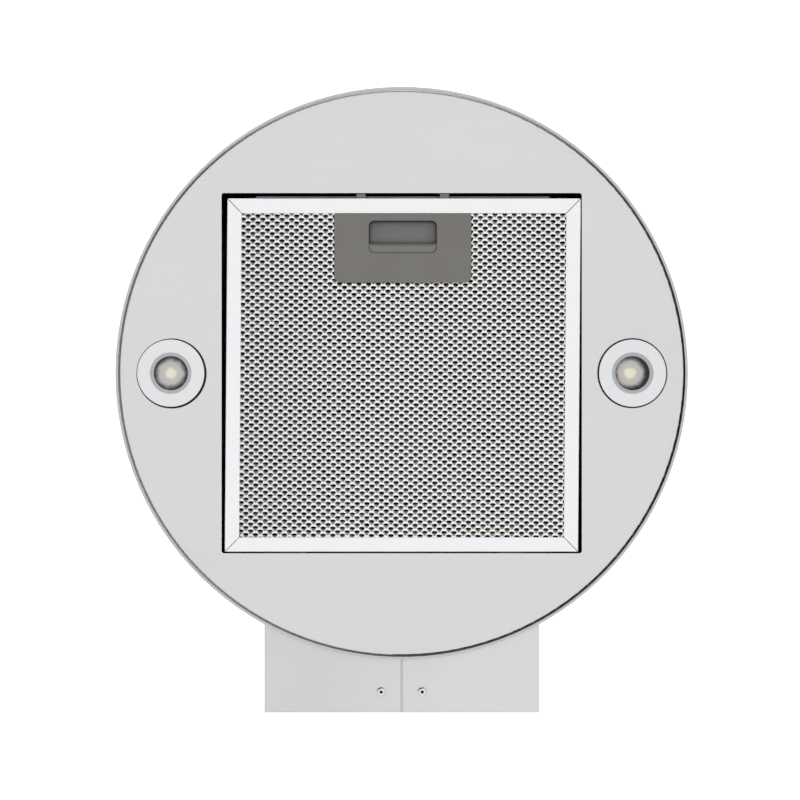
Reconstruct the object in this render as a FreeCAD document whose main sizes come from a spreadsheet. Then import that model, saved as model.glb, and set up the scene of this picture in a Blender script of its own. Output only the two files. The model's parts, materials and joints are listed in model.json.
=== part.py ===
import FreeCAD, Part
import math
import operator
import os
from types import SimpleNamespace

import Sketcher
from FreeCAD import Placement, Rotation, Vector

# Round wall mount range hood: a telescoping steel tube with a flat intake panel below, a grease filter
# that swings down, two lamps, a centrifugal blower and a box that stands the tube off the wall.
# Pieces are drawn from the tube's axis and lower rim: X to the right, Y back to the wall, Z up.
# The finished pieces are set into the wall frame, whose origin is the middle of the wall bolts.

# Driving sizes in millimetres, degrees or counts
SIZES = {
    # Body tube and chimney
    "tube_diameter": 370,
    "tube_wall": 0.9,
    "tube_height": 460,
    "hem_thickness": 0.8,
    "hem_height": 10,
    "chimney_height": 420,
    "chimney_wall": 0.8,
    "chimney_overlap": 190,
    "slide_gap": 0.5,
    "stop_sweep": 6,
    "stop_depth": 8,
    "stop_height": 8,
    "vent_rows": 6,
    "vent_length": 90,
    "vent_height": 4,
    "vent_pitch": 11,
    "vent_margin": 30,
    # Standoff box and what hangs on the wall
    "wall_gap": 35,
    "box_width": 178,
    "box_rise": 6,
    "box_height": 420,
    "cover_sheet": 1,
    "cover_return": 14,
    "cover_gap": 0.3,
    "seam_gap": 0.8,
    "cover_screw_offset": 13.3,
    "cover_screw_inset": 13.5,
    "cover_screw_shank": 3,
    "cover_screw_head": 5.7,
    "cover_screw_dome": 1.7,
    "cover_screw_socket": 2.2,
    "cover_screw_length": 5,
    "bracket_sheet": 2,
    "tab_width": 60,
    "tab_depth": 28,
    "bolt_spacing_across": 120,
    "bolt_spacing_up": 260,
    "bolt_hole": 8,
    "bracket_clearance": 0.9,
    "spine_sheet": 2,
    "spine_clearance": 1.687,
    "arm_rise": 70,
    "arm_height": 180,
    "arm_setback": 3,
    "hanger_bolt": 6,
    "hanger_head": 10,
    "hanger_head_height": 4,
    "hanger_nut_height": 5,
    "hanger_bolt_margin": 30,
    # Base panel
    "panel_sheet": 1,
    "panel_recess": 2,
    "panel_gap": 0.7,
    "panel_rim": 12,
    "panel_lip": 12,
    "panel_bend": 0.9,
    "panel_bracket_sweep": 7,
    "panel_bracket_leg": 20,
    "panel_bracket_sheet": 1.2,
    "panel_screw": 4,
    "panel_screw_head": 7,
    "panel_screw_head_height": 2.4,
    "panel_screw_length": 6,
    # Grease filter
    "filter_depth": 9,
    "filter_gap": 2.2,
    "opening_margin": 5.844,
    "opening_corner": 1.6,
    "filter_lift": 0.3,
    "filter_shift_across": 0.7,
    "filter_shift_back": 0.9,
    "rail_width": 10,
    "rail_sheet": 1,
    "mitre_gap": 0.1,
    "front_lip_length": 190,
    "front_lip_reach": 1.2,
    "mesh_sheet": 1,
    "core_sheet": 0.8,
    "core_layers": 3,
    "mesh_columns": 12,
    "mesh_strand": 3,
    "lug_width": 16,
    "lug_spacing": 140,
    "lug_sheet": 1.2,
    "lug_reach": 6,
    # Filter handle and latch
    "handle_width": 88.7,
    "handle_length": 44.7,
    "handle_corner": 4,
    "slot_width": 44,
    "slot_length": 21,
    "slot_setback": 4.6,
    "slot_corner": 3.6,
    "strip_width": 6.1,
    "housing_margin": 10,
    "housing_wall": 0.8,
    "slider_sheet": 1.5,
    "slider_overlap": 3,
    "scoop_depth": 4.6,
    "scoop_wall": 0.8,
    "tongue_width": 5.8,
    "tongue_spacing": 54,
    "latch_draw": 3.5,
    "spring_width": 3.4,
    "spring_sheet": 0.4,
    # Lamps
    "lamp_ring": 44.7,
    "lamp_proud": 1.6,
    "lamp_edge": 0.6,
    "lamp_bevel": 26.5,
    "lamp_window": 22,
    "lamp_neck": 38,
    "lamp_neck_wall": 1.2,
    "lamp_neck_height": 14,
    "lamp_margin": 2.35,
    "lamp_web": 0.6,
    "lens_flange": 1.4,
    "lens_rim": 2.7,
    "reflector_height": 7,
    "led_diameter": 6.5,
    "led_height": 0.8,
    "led_board": 1.6,
    "sink_plate": 3,
    "sink_fin": 1.6,
    "sink_fins": 7,
    "sink_height": 12,
    "clip_sheet": 0.6,
    "clip_width": 6,
    "clip_spread": 6,
    "clip_shoulder": 5,
    # Blower
    "blower_rise": 215,
    "blower_shift": -12,
    "blower_width": 150,
    "scroll_sheet": 1.2,
    "scroll_step": 15,
    "cutoff_gap": 11,
    "outlet_rise": 140,
    "impeller_diameter": 150,
    "impeller_width": 138,
    "blade_depth": 12,
    "blade_sheet": 1,
    "blade_count": 36,
    "wheel_ring": 3,
    "hub_sheet": 1.6,
    "hub_diameter": 22,
    "hub_length": 16,
    "shaft_diameter": 8,
    "shaft_gap": 0.05,
    "shaft_engage": 14,
    "inlet_diameter": 132,
    "motor_diameter": 90,
    "motor_gap": 6,
    "motor_step": 8,
    "motor_arm_width": 14,
    "motor_arm_sheet": 2,
    "motor_arm_grip": 8,
    "capacitor_diameter": 30,
    "capacitor_length": 58,
    "blower_screw": 4,
    "blower_screw_head": 8,
    "blower_screw_head_height": 2.6,
    "blower_screw_length": 5,
    "blower_screw_margin": 22,
    # Lid, outlet collar and damper
    "lid_sheet": 1.2,
    "lid_rim": 10,
    "lid_gap": 0.8,
    "collar_diameter": 149,
    "collar_wall": 1.6,
    "collar_height": 50,
    "collar_flange": 10,
    "collar_flange_sheet": 2,
    "ledge_width": 2.5,
    "ledge_height": 1.5,
    "damper_rise": 9,
    "damper_pin": 3,
    "damper_sheet": 1,
    "damper_gap": 0.7,
    "damper_barrel": 5.4,
    "damper_knuckle": 22,
    "junction_width": 70,
    "junction_depth": 50,
    "junction_height": 36,
    "junction_wall": 2,
    "junction_shift": -122,
    "cable_bore": 9,
    "grommet_wall": 2.5,
    "grommet_lip": 2,
    "grommet_lip_width": 2.5,
    # Controls
    "control_rise": 40,
    "control_height": 34,
    "control_depth": 22,
    "control_wall": 1,
    "control_sweep": 44,
    "control_board": 1.6,
    "control_board_width": 96,
    "switch_size": 6,
    "button_diameter": 10,
    "button_flange": 1.5,
    "button_flange_height": 1.2,
    "button_proud": 2.2,
    "button_edge": 0.6,
    "button_angle": 7,
    "button_travel": 1.5,
    # Clearances
    "seat_gap": 0.05,
    "fit_gap": 0.1,
    "running_gap": 0.3,
    "cut_margin": 2,
}

doc = FreeCAD.newDocument("range_hood")
sheet = doc.addObject("Spreadsheet::Sheet", "sizes")
for row, (alias, number) in enumerate(SIZES.items(), start=1):
    sheet.set(f"A{row}", alias)
    sheet.set(f"B{row}", str(number))
    sheet.setAlias(f"B{row}", alias)
doc.recompute()


class Size:
    """A number worked out from the sheet: its formula, which objects are bound to, and its value now."""

    def __init__(self, formula, value):
        self.formula = formula
        self.value = value

    def __add__(self, other):
        return joined(self, "+", other)

    def __radd__(self, other):
        return joined(other, "+", self)

    def __sub__(self, other):
        return joined(self, "-", other)

    def __rsub__(self, other):
        return joined(other, "-", self)

    def __mul__(self, other):
        return joined(self, "*", other)

    def __rmul__(self, other):
        return joined(other, "*", self)

    def __truediv__(self, other):
        return joined(self, "/", other)

    def __neg__(self):
        return joined(0, "-", self)

    def __float__(self):
        return self.value


OPERATIONS = {"+": operator.add, "-": operator.sub, "*": operator.mul, "/": operator.truediv}


def as_size(number):
    """A plain number as a Size, so that both can stand in one formula."""
    return number if isinstance(number, Size) else Size(repr(number), float(number))


def joined(left, sign, right):
    """The formula and value of two sizes with a sign between them."""
    left = as_size(left)
    right = as_size(right)
    return Size(f"({left.formula} {sign} {right.formula})", OPERATIONS[sign](left.value, right.value))


def root(size):
    """The square root of a size."""
    return Size(f"sqrt({size.formula})", math.sqrt(size.value))


def sine(angle):
    """The sine of an angle in degrees."""
    return Size(f"sin({angle.formula})", math.sin(math.radians(angle.value)))


def cosine(angle):
    """The cosine of an angle in degrees."""
    return Size(f"cos({angle.formula})", math.cos(math.radians(angle.value)))


s = SimpleNamespace(**{name: Size(f"sizes.{name}", float(sheet.get(name))) for name in SIZES})

# Sizes that follow from the driving ones
tube_radius = s.tube_diameter / 2
tube_inside = tube_radius - s.tube_wall
hem_inside = tube_inside - s.hem_thickness
chimney_radius = tube_inside - s.slide_gap
chimney_inside = chimney_radius - s.chimney_wall
chimney_rise = s.tube_height - s.chimney_overlap
wall_distance = tube_radius + s.wall_gap
box_top = s.box_rise + s.box_height
bracket_low = s.box_rise + s.cover_sheet + s.seat_gap
bracket_high = box_top - s.cover_sheet - s.seat_gap
bolt_rise = (bracket_low + bracket_high) / 2
arm_top = s.arm_rise + s.arm_height

panel_radius = hem_inside - s.panel_gap
panel_top = s.panel_recess + s.panel_sheet
panel_rim_top = s.panel_recess + s.panel_rim
# The opening's corners stay a margin inside the panel's lip
opening_half = (panel_radius - s.panel_lip - s.opening_margin) / root(as_size(2))
lamp_offset = panel_radius - s.panel_lip - s.lamp_neck / 2 - s.lamp_margin
panel_screw_circle = panel_radius - s.panel_lip / 2

filter_half = opening_half - s.filter_gap
filter_low = s.panel_recess + s.filter_lift
rail_low_top = filter_low + s.rail_sheet
filter_high = filter_low + s.filter_depth
rail_high_low = filter_high - s.rail_sheet
mesh_half = filter_half - s.rail_sheet - s.running_gap
handle_front = s.filter_shift_back - filter_half + s.rail_width + s.fit_gap
slot_front = handle_front + s.slot_setback
slot_back = slot_front + s.slot_length
scoop_back = slot_back - s.strip_width
slider_low = rail_low_top + s.running_gap
slider_top = slider_low + s.slider_sheet
slider_front = slot_front - s.slider_overlap
slider_back = slot_back + s.slider_overlap
tongue_tip = s.running_gap - opening_half
housing_half = s.slot_width / 2 + s.housing_margin
# Behind the slider is room for its draw and for a closed spring of the same length
spring_room = s.latch_draw * 2
housing_back = slider_back + spring_room + s.housing_wall
housing_top = rail_high_low

scroll_eccentric = s.scroll_step / 2
scroll_top_radius = s.impeller_diameter / 2 + s.cutoff_gap + s.scroll_step
scroll_front_radius = scroll_top_radius + s.scroll_step
scroll_back_radius = scroll_front_radius + s.scroll_step
scroll_back = scroll_eccentric + scroll_back_radius
side_plane = s.blower_width / 2
side_outside = side_plane + s.scroll_sheet
spine_front = s.blower_shift + scroll_back + s.scroll_sheet + s.seat_gap
spine_back = spine_front + s.spine_sheet
# The spine and the bracket's arms on it stay clear of the covers' returns and of the tube
spine_half = s.box_width / 2 - s.cover_return - s.bracket_clearance - s.bracket_sheet - s.fit_gap
spine_flange_back = root(tube_inside * tube_inside - spine_half * spine_half) - s.spine_clearance
lid_low = s.blower_rise + s.outlet_rise + s.seat_gap
lid_top = lid_low + s.lid_sheet
collar_shift = s.blower_shift + (scroll_back - scroll_eccentric) / 2
collar_radius = s.collar_diameter / 2
collar_bore = collar_radius - s.collar_wall
collar_low = lid_top + s.seat_gap
damper_axis = collar_low + s.collar_flange_sheet + s.damper_rise

control_middle = s.control_rise + s.control_height / 2
control_outside = tube_inside - s.seat_gap
control_inside = control_outside - s.control_depth
control_cavity = control_outside - s.control_wall

AXIS_TURNS = {
    "X": Rotation(Vector(0, 1, 0), 90),
    "Y": Rotation(Vector(1, 0, 0), -90),
    "Z": Rotation(),
}
# Turns the blower's own axes (scroll plane and impeller axis) to the hood's Y, Z and X
BLOWER_TURN = Rotation(Vector(1, 1, 1), 120)

NODES = {}


# Helpers that draw bound shapes


def bind(made, path, size):
    """Ties one property to a formula of the sheet."""
    made.setExpression(path, as_size(size).formula)


def place(made, across, back, up):
    """Ties an object's position to formulas of the sheet."""
    bind(made, "Placement.Base.x", across)
    bind(made, "Placement.Base.y", back)
    bind(made, "Placement.Base.z", up)


def box(name, across, back, up):
    """A block between a low and a high size along X, Y and Z."""
    made = doc.addObject("Part::Box", name)
    bind(made, "Length", as_size(across[1]) - across[0])
    bind(made, "Width", as_size(back[1]) - back[0])
    bind(made, "Height", as_size(up[1]) - up[0])
    place(made, across[0], back[0], up[0])
    return made


def cylinder(name, radius, along, at=(0, 0), axis="Z", start=0, sweep=360):
    """A round bar, or a sector of one, along an axis at the two other coordinates."""
    made = doc.addObject("Part::Cylinder", name)
    bind(made, "Radius", radius)
    bind(made, "Height", as_size(along[1]) - along[0])
    bind(made, "Angle", sweep)
    made.Placement = Placement(Vector(), AXIS_TURNS[axis] * Rotation(Vector(0, 0, 1), float(start)))
    position = list(at)
    position.insert("XYZ".index(axis), along[0])
    place(made, *position)
    return made


def radial_bar(name, radius, along, angle, up):
    """A round bar that points out of the tube's front, turned about the tube's axis by an angle."""
    made = doc.addObject("Part::Cylinder", name)
    bind(made, "Radius", radius)
    bind(made, "Height", as_size(along[1]) - along[0])
    made.Placement = Placement(Vector(), front_turn(angle))
    place(made, along[0] * sine(angle), -(along[0] * cosine(angle)), up)
    return made


def front_turn(angle):
    """Turns +Z to the outward direction at an angle from the tube's front."""
    return Rotation(Vector(0, 0, 1), float(angle)) * Rotation(Vector(1, 0, 0), 90)


def fuse(name, *shapes):
    """Several overlapping shapes as one."""
    made = doc.addObject("Part::MultiFuse", name)
    made.Shapes = list(shapes)
    made.Refine = True
    return made


def cut(name, base, *tools):
    """A shape with one or more shapes taken away."""
    made = doc.addObject("Part::Cut", name)
    made.Base = base
    made.Tool = tools[0] if len(tools) == 1 else fuse(name + "_tools", *tools)
    made.Refine = True
    return made


def common(name, first, second):
    """What two shapes share."""
    made = doc.addObject("Part::Common", name)
    made.Base = first
    made.Tool = second
    return made


def group(name, *shapes):
    """Separate solids kept together as one piece."""
    made = doc.addObject("Part::Compound", name)
    made.Links = list(shapes)
    return made


def arc_block(name, inside, outside, start, sweep, along, at=(0, 0)):
    """A sector of a ring about Z."""
    sector = cylinder(name + "_sector", outside, along, at, start=start, sweep=sweep)
    return cut(name, sector, cylinder(name + "_bore", inside, along, at))


def outline(body, name, plane, points):
    """A closed sketch of straight lines on one of the body's origin planes, each corner bound."""
    sketch = body.newObject("Sketcher::SketchObject", name)
    support = next(item for item in body.Origin.OriginFeatures if item.Role == plane)
    sketch.AttachmentSupport = [(support, "")]
    sketch.MapMode = "FlatFace"
    corners = [Vector(float(u), float(v), 0) for u, v in points]
    for first, second in zip(corners, corners[1:] + corners[:1]):
        sketch.addGeometry(Part.LineSegment(first, second))
    for index in range(len(points)):
        following = (index + 1) % len(points)
        sketch.addConstraint(Sketcher.Constraint("Coincident", index, 2, following, 1))
    for index, (u, v) in enumerate(points):
        for kind, size in (("DistanceX", as_size(u)), ("DistanceY", as_size(v))):
            number = sketch.addConstraint(Sketcher.Constraint(kind, -1, 1, index, 1, size.value))
            sketch.setExpression(f"Constraints[{number}]", size.formula)
    return sketch


def turned(name, profile):
    """A body turned about Z from a closed outline of radius and height."""
    body = doc.addObject("PartDesign::Body", name)
    add_turn(body, name + "_turn", profile)
    return body


def add_turn(body, name, profile):
    """One more turned feature on a body."""
    sketch = outline(body, name + "_outline", "XZ_Plane", profile)
    feature = body.newObject("PartDesign::Revolution", name)
    feature.Profile = sketch
    feature.ReferenceAxis = (sketch, ["V_Axis"])
    feature.Angle = 360
    body.Tip = feature
    return feature


def padded(name, plane, points, length):
    """A body padded from a closed outline."""
    body = doc.addObject("PartDesign::Body", name)
    add_pad(body, name + "_pad", plane, points, length)
    return body


def add_pad(body, name, plane, points, length):
    """One more padded feature on a body."""
    feature = body.newObject("PartDesign::Pad", name)
    feature.Profile = outline(body, name + "_outline", plane, points)
    bind(feature, "Length", length)
    body.Tip = feature
    return feature


def node(name, made, across=0, back=0, up=0, turn=None):
    """Names a finished piece and sets it into the wall frame."""
    made.Label = name
    if turn is not None:
        made.Placement = Placement(Vector(), turn)
    place(made, across, back - wall_distance, up - bolt_rise)
    NODES[name] = made
    return made


def circle_edge(shape, radius, height):
    """The name of the level circular edge with this radius at this height."""
    for number, edge in enumerate(shape.Edges, start=1):
        curve = edge.Curve
        if isinstance(curve, Part.Circle) and abs(curve.Radius - radius) < 1e-6:
            if abs(curve.Center.z - height) < 1e-6:
                return f"Edge{number}"
    raise ValueError(f"no circular edge of radius {radius} at height {height}")


# Body tube and chimney


def button_angles():
    """The angle of each push button from the tube's front."""
    return [s.button_angle * step for step in (-2, -1, 0, 1, 2)]


def button_holes(owner, along):
    """The bars that cut the push buttons' holes."""
    radius = s.button_diameter / 2 + s.running_gap
    return [
        radial_bar(f"{owner}_button_hole_{number}", radius, along, angle, control_middle)
        for number, angle in enumerate(button_angles(), start=1)
    ]


def body_tube():
    """The hemmed lower tube, with slots for the bracket arms and holes for the buttons."""
    slots = []
    for side, low in (("right", spine_half), ("left", -spine_half - s.fit_gap - s.bracket_sheet)):
        across = (low - s.running_gap, low + s.fit_gap + s.bracket_sheet + s.running_gap)
        up = (s.arm_rise - s.running_gap, arm_top + s.running_gap)
        slots.append(box(f"tube_slot_{side}", across, (spine_back, wall_distance), up))
    made = cut(
        "body_tube",
        cylinder("tube_outside", tube_radius, (0, s.tube_height)),
        cylinder("hem_bore", hem_inside, (0, s.hem_height)),
        cylinder("tube_bore", tube_inside, (s.hem_height, s.tube_height)),
        *slots,
        *button_holes("tube", (control_inside, tube_radius + s.cut_margin)),
    )
    node("body_tube", made)


def chimney_tube():
    """The upper tube, which slides up out of the body tube, with air slots in both sides."""
    top = chimney_rise + s.chimney_height
    slots = []
    for number in range(int(s.vent_rows.value)):
        low = top - s.vent_margin - s.vent_pitch * number
        across = (-tube_radius, tube_radius)
        back = (-s.vent_length / 2, s.vent_length / 2)
        slots.append(box(f"vent_slot_{number + 1}", across, back, (low - s.vent_height, low)))
    made = cut(
        "chimney_tube",
        cylinder("chimney_outside", chimney_radius, (chimney_rise, top)),
        cylinder("chimney_bore", chimney_inside, (chimney_rise, top)),
        *slots,
    )
    node("chimney_tube", made)


def chimney_stops():
    """Three blocks inside the body tube that the chimney stands on."""
    top = chimney_rise - s.fit_gap
    blocks = []
    for name, angle in (("right", 0), ("left", 180), ("front", 270)):
        start = angle - s.stop_sweep / 2
        outside = tube_inside - s.seat_gap
        along = (top - s.stop_height, top)
        block = arc_block(f"stop_{name}", outside - s.stop_depth, outside, start, s.stop_sweep, along)
        blocks.append(block)
    node("chimney_stops", group("chimney_stops", *blocks))


# Standoff box, wall bracket and spine


def cover_screw_spots():
    """Where the cover screws stand across the seam, and how far from the tube's axis."""
    back = wall_distance - s.cover_screw_inset
    return [(-s.cover_screw_offset, back), (s.cover_screw_offset, back)]


def rear_covers():
    """The two folded halves of the standoff box, mirror images of each other."""
    half = s.box_width / 2
    inner_up = (s.box_rise + s.cover_sheet, box_top - s.cover_sheet)
    right = cut(
        "cover_half",
        box("cover_block", (s.seam_gap / 2, half), (0, wall_distance), (s.box_rise, box_top)),
        box("cover_hollow", (0, half - s.cover_sheet), (0, wall_distance - s.cover_sheet), inner_up),
        box("cover_window", (0, half - s.cover_return), (0, wall_distance + s.cut_margin), inner_up),
        cylinder("cover_tube_cut", tube_radius + s.cover_gap, (s.box_rise, box_top)),
        cylinder(
            "cover_screw_hole",
            s.cover_screw_shank / 2 + s.fit_gap,
            (s.box_rise, box_top),
            cover_screw_spots()[1],
        ),
    )
    left = doc.addObject("Part::Mirroring", "cover_half_mirror")
    left.Source = right
    left.Normal = Vector(1, 0, 0)
    node("rear_cover_right", group("rear_cover_right", right))
    node("rear_cover_left", group("rear_cover_left", left))


def button_screw(name, at, seat, way):
    """A button head screw with a hexagon socket; way is 1 with its head on top and -1 below."""
    radius = s.cover_screw_head / 2
    socket = s.cover_screw_socket / 2
    dome = s.cover_screw_dome
    rim_share = 0.35
    shoulder_share = 0.75
    shoulder_radius_share = 0.8
    socket_floor_share = 0.4
    profile = [
        (0, -s.cover_screw_length),
        (s.cover_screw_shank / 2, -s.cover_screw_length),
        (s.cover_screw_shank / 2, 0),
        (radius, 0),
        (radius, dome * rim_share),
        (radius * shoulder_radius_share, dome * shoulder_share),
        (socket, dome),
        (0, dome),
    ]
    body = turned(name + "_bar", profile)
    bore = doc.addObject("Part::Prism", name + "_socket")
    bore.Polygon = 6
    bind(bore, "Circumradius", socket)
    bind(bore, "Height", dome)
    place(bore, 0, 0, dome * socket_floor_share)
    made = cut(name, body, bore)
    made.Placement = Placement(Vector(), Rotation(Vector(1, 0, 0), 0 if way > 0 else 180))
    place(made, at[0], at[1], seat)
    return made


def cover_screws():
    """Two screws below and two above that hold the covers to the bracket's tabs."""
    screws = []
    for number, at in enumerate(cover_screw_spots(), start=1):
        screws.append(button_screw(f"cover_screw_low_{number}", at, s.box_rise - s.seat_gap, -1))
        screws.append(button_screw(f"cover_screw_high_{number}", at, box_top + s.seat_gap, 1))
    node("cover_screws", group("cover_screws", *screws))


def hanger_spots():
    """Where the hanger bolts cross the bracket arms: distance back and height."""
    back = (spine_back + spine_flange_back) / 2
    return [(back, s.arm_rise + s.hanger_bolt_margin), (back, arm_top - s.hanger_bolt_margin)]


def hanger_holes(owner):
    """The bars that cut the hanger bolts' holes right across."""
    reach = spine_half + s.bracket_sheet + s.cut_margin
    radius = s.hanger_bolt / 2 + s.fit_gap
    return [
        cylinder(f"{owner}_hanger_hole_{number}", radius, (-reach, reach), spot, "X")
        for number, spot in enumerate(hanger_spots(), start=1)
    ]


def wall_bracket():
    """The folded bracket on the wall: a web with bolt holes, two arms and two tabs for the covers."""
    inner = spine_half + s.fit_gap
    outer = inner + s.bracket_sheet
    web_front = wall_distance - s.bracket_sheet
    arm_back = (spine_back + s.arm_setback, wall_distance)
    arm_up = (s.arm_rise, arm_top)
    tab_across = (-s.tab_width / 2, s.tab_width / 2)
    tab_back = (wall_distance - s.tab_depth, wall_distance)
    holes = []
    for across in (-s.bolt_spacing_across / 2, s.bolt_spacing_across / 2):
        for up in (bolt_rise - s.bolt_spacing_up / 2, bolt_rise + s.bolt_spacing_up / 2):
            along = (web_front - s.cut_margin, wall_distance + s.cut_margin)
            name = f"wall_hole_{len(holes) + 1}"
            holes.append(cylinder(name, s.bolt_hole / 2, along, (across, up), "Y"))
    for number, at in enumerate(cover_screw_spots(), start=1):
        radius = s.cover_screw_shank / 2 + s.seat_gap
        holes.append(cylinder(f"tab_hole_{number}", radius, (bracket_low, bracket_high), at))
    folded = fuse(
        "bracket_folded",
        box("bracket_web", (-outer, outer), (web_front, wall_distance), (bracket_low, bracket_high)),
        box("bracket_arm_right", (inner, outer), arm_back, arm_up),
        box("bracket_arm_left", (-outer, -inner), arm_back, arm_up),
        box("bracket_tab_low", tab_across, tab_back, (bracket_low, bracket_low + s.bracket_sheet)),
        box("bracket_tab_high", tab_across, tab_back, (bracket_high - s.bracket_sheet, bracket_high)),
    )
    node("wall_bracket", cut("wall_bracket", folded, *holes, *hanger_holes("bracket")))


def blower_screw_spots():
    """Where screws hold the scroll to the spine: across and up."""
    low = s.blower_rise + s.blower_screw_margin
    high = s.blower_rise + s.outlet_rise - s.blower_screw_margin
    reach = spine_half - s.blower_screw_margin
    return [(across, up) for across in (-reach, reach) for up in (low, high)]


def spine_frame():
    """The channel inside the tube that the blower hangs on, bolted to the bracket's arms."""
    flange_back = (spine_front, spine_flange_back)
    flange_up = (s.arm_rise, arm_top)
    channel = fuse(
        "spine_channel",
        box(
            "spine_web",
            (-spine_half, spine_half),
            (spine_front, spine_back),
            (s.arm_rise, lid_low - s.fit_gap),
        ),
        box("spine_flange_right", (spine_half - s.spine_sheet, spine_half), flange_back, flange_up),
        box("spine_flange_left", (-spine_half, s.spine_sheet - spine_half), flange_back, flange_up),
    )
    holes = []
    for number, spot in enumerate(blower_screw_spots(), start=1):
        along = (spine_front - s.cut_margin, spine_back + s.cut_margin)
        radius = s.blower_screw / 2 + s.fit_gap
        holes.append(cylinder(f"spine_screw_hole_{number}", radius, along, spot, "Y"))
    node("spine_frame", cut("spine_frame", channel, *holes, *hanger_holes("spine")))


def hanger_bolts():
    """Four bolts, each with its nut, that join the bracket's arms to the spine."""
    head = spine_half + s.fit_gap + s.bracket_sheet + s.seat_gap
    nut = spine_half - s.spine_sheet - s.seat_gap
    bolts = []
    for side in (-1, 1):
        for spot in hanger_spots():
            name = f"hanger_bolt_{len(bolts) + 1}"
            bars = (
                ("shank", s.hanger_bolt / 2, nut - s.hanger_nut_height, head),
                ("head", s.hanger_head / 2, head, head + s.hanger_head_height),
                ("nut", s.hanger_head / 2, nut - s.hanger_nut_height, nut),
            )
            shapes = []
            for word, radius, low, high in bars:
                along = (low, high) if side > 0 else (-high, -low)
                shapes.append(cylinder(f"{name}_{word}", radius, along, spot, "X"))
            bolts.append(fuse(name, *shapes))
    node("hanger_bolts", group("hanger_bolts", *bolts))


# Base panel and what holds it


def panel_screw_angles():
    """The directions of the panel's four brackets."""
    return [45, 135, 225, 315]


def panel_screw_spot(angle):
    """A panel screw's place for one of those directions."""
    direction = as_size(angle)
    return (panel_screw_circle * cosine(direction), panel_screw_circle * sine(direction))


def base_panel():
    """The flat disc with its rim turned up and in, the filter opening and the lamp holes."""
    inner = panel_radius - s.panel_sheet
    lip = panel_radius - s.panel_lip
    lip_low = s.panel_rim - s.panel_sheet
    profile = [
        (0, 0),
        (panel_radius, 0),
        (panel_radius, s.panel_rim),
        (lip, s.panel_rim),
        (lip, lip_low),
        (inner, lip_low),
        (inner, s.panel_sheet),
        (0, s.panel_sheet),
    ]
    body = turned("panel_pan", profile)
    doc.recompute()
    pan = body.Tip
    edge = circle_edge(pan.Shape, panel_radius.value, 0)
    bend = body.newObject("PartDesign::Fillet", "panel_bend_edge")
    bend.Base = (pan, [edge])
    bind(bend, "Radius", s.panel_bend)
    body.Tip = bend
    through = (-s.cut_margin, s.panel_rim + s.cut_margin)
    span = (-opening_half, opening_half)
    holes = [rounded_block("panel_opening", span, span, through, s.opening_corner)]
    for name, across in (("left", -lamp_offset), ("right", lamp_offset)):
        radius = s.lamp_neck / 2 + s.fit_gap
        along = (-s.cut_margin, s.panel_sheet + s.cut_margin)
        holes.append(cylinder(f"panel_lamp_hole_{name}", radius, along, (across, 0)))
    for angle in panel_screw_angles():
        along = (lip_low - s.cut_margin, s.panel_rim + s.cut_margin)
        radius = s.panel_screw / 2 + s.fit_gap
        holes.append(cylinder(f"panel_screw_hole_{angle}", radius, along, panel_screw_spot(angle)))
    node("base_panel", cut("base_panel", body, *holes), up=s.panel_recess)


def panel_brackets():
    """Four angle brackets that carry the panel's lip on the tube."""
    outside = tube_inside - s.seat_gap
    low = panel_rim_top + s.seat_gap
    brackets = []
    for angle in panel_screw_angles():
        start = angle - s.panel_bracket_sweep / 2
        foot_up = (low, low + s.panel_bracket_sheet)
        leg_up = (low, low + s.panel_bracket_leg)
        sweep = s.panel_bracket_sweep
        foot = arc_block(f"bracket_foot_{angle}", panel_radius - s.panel_lip, outside, start, sweep, foot_up)
        leg_inside = outside - s.panel_bracket_sheet
        leg = arc_block(f"bracket_leg_{angle}", leg_inside, outside, start, sweep, leg_up)
        hole_radius = s.panel_screw / 2 + s.fit_gap
        hole = cylinder(f"bracket_hole_{angle}", hole_radius, foot_up, panel_screw_spot(angle))
        brackets.append(cut(f"panel_bracket_{angle}", fuse(f"bracket_angle_{angle}", foot, leg), hole))
    node("panel_brackets", group("panel_brackets", *brackets))


def panel_screws():
    """Four screws through the brackets and the panel's lip."""
    seat = panel_rim_top + s.panel_bracket_sheet + s.fit_gap
    screws = []
    for angle in panel_screw_angles():
        spot = panel_screw_spot(angle)
        shank = cylinder(f"panel_shank_{angle}", s.panel_screw / 2, (seat - s.panel_screw_length, seat), spot)
        head_along = (seat, seat + s.panel_screw_head_height)
        head = cylinder(f"panel_head_{angle}", s.panel_screw_head / 2, head_along, spot)
        screws.append(fuse(f"panel_screw_{angle}", shank, head))
    node("panel_screws", group("panel_screws", *screws))


# Grease filter


def rail(name, quarter):
    """One mitred channel of the filter's frame, turned by quarter turns from the front rail."""
    length = filter_half * 2
    inset = s.mitre_gap
    frame = wedge(f"{name}_block", (inset, length - inset), s.rail_width, (0, s.filter_depth))
    hollow = wedge(
        f"{name}_hollow",
        (0, length),
        s.rail_width + s.cut_margin,
        (s.rail_sheet, s.filter_depth - s.rail_sheet),
        s.rail_sheet,
    )
    tools = [hollow]
    if quarter == 0:
        frame = fuse(f"{name}_with_lip", frame, front_lip())
        for side, middle in (("left", -s.tongue_spacing / 2), ("right", s.tongue_spacing / 2)):
            reach = s.tongue_width / 2 + s.running_gap
            across = (filter_half + middle - reach, filter_half + middle + reach)
            up = (slider_low - filter_low - s.running_gap, slider_top - filter_low + s.running_gap)
            depth = (-s.cut_margin, s.rail_sheet + s.cut_margin)
            tools.append(box(f"{name}_tongue_slot_{side}", across, depth, up))
    made = cut(name, frame, *tools)
    corner_across = (-1, 1, 1, -1)[quarter]
    corner_back = (-1, -1, 1, 1)[quarter]
    node(
        name,
        made,
        s.filter_shift_across + filter_half * corner_across,
        s.filter_shift_back + filter_half * corner_back,
        filter_low,
        Rotation(Vector(0, 0, 1), 90 * quarter),
    )


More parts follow.
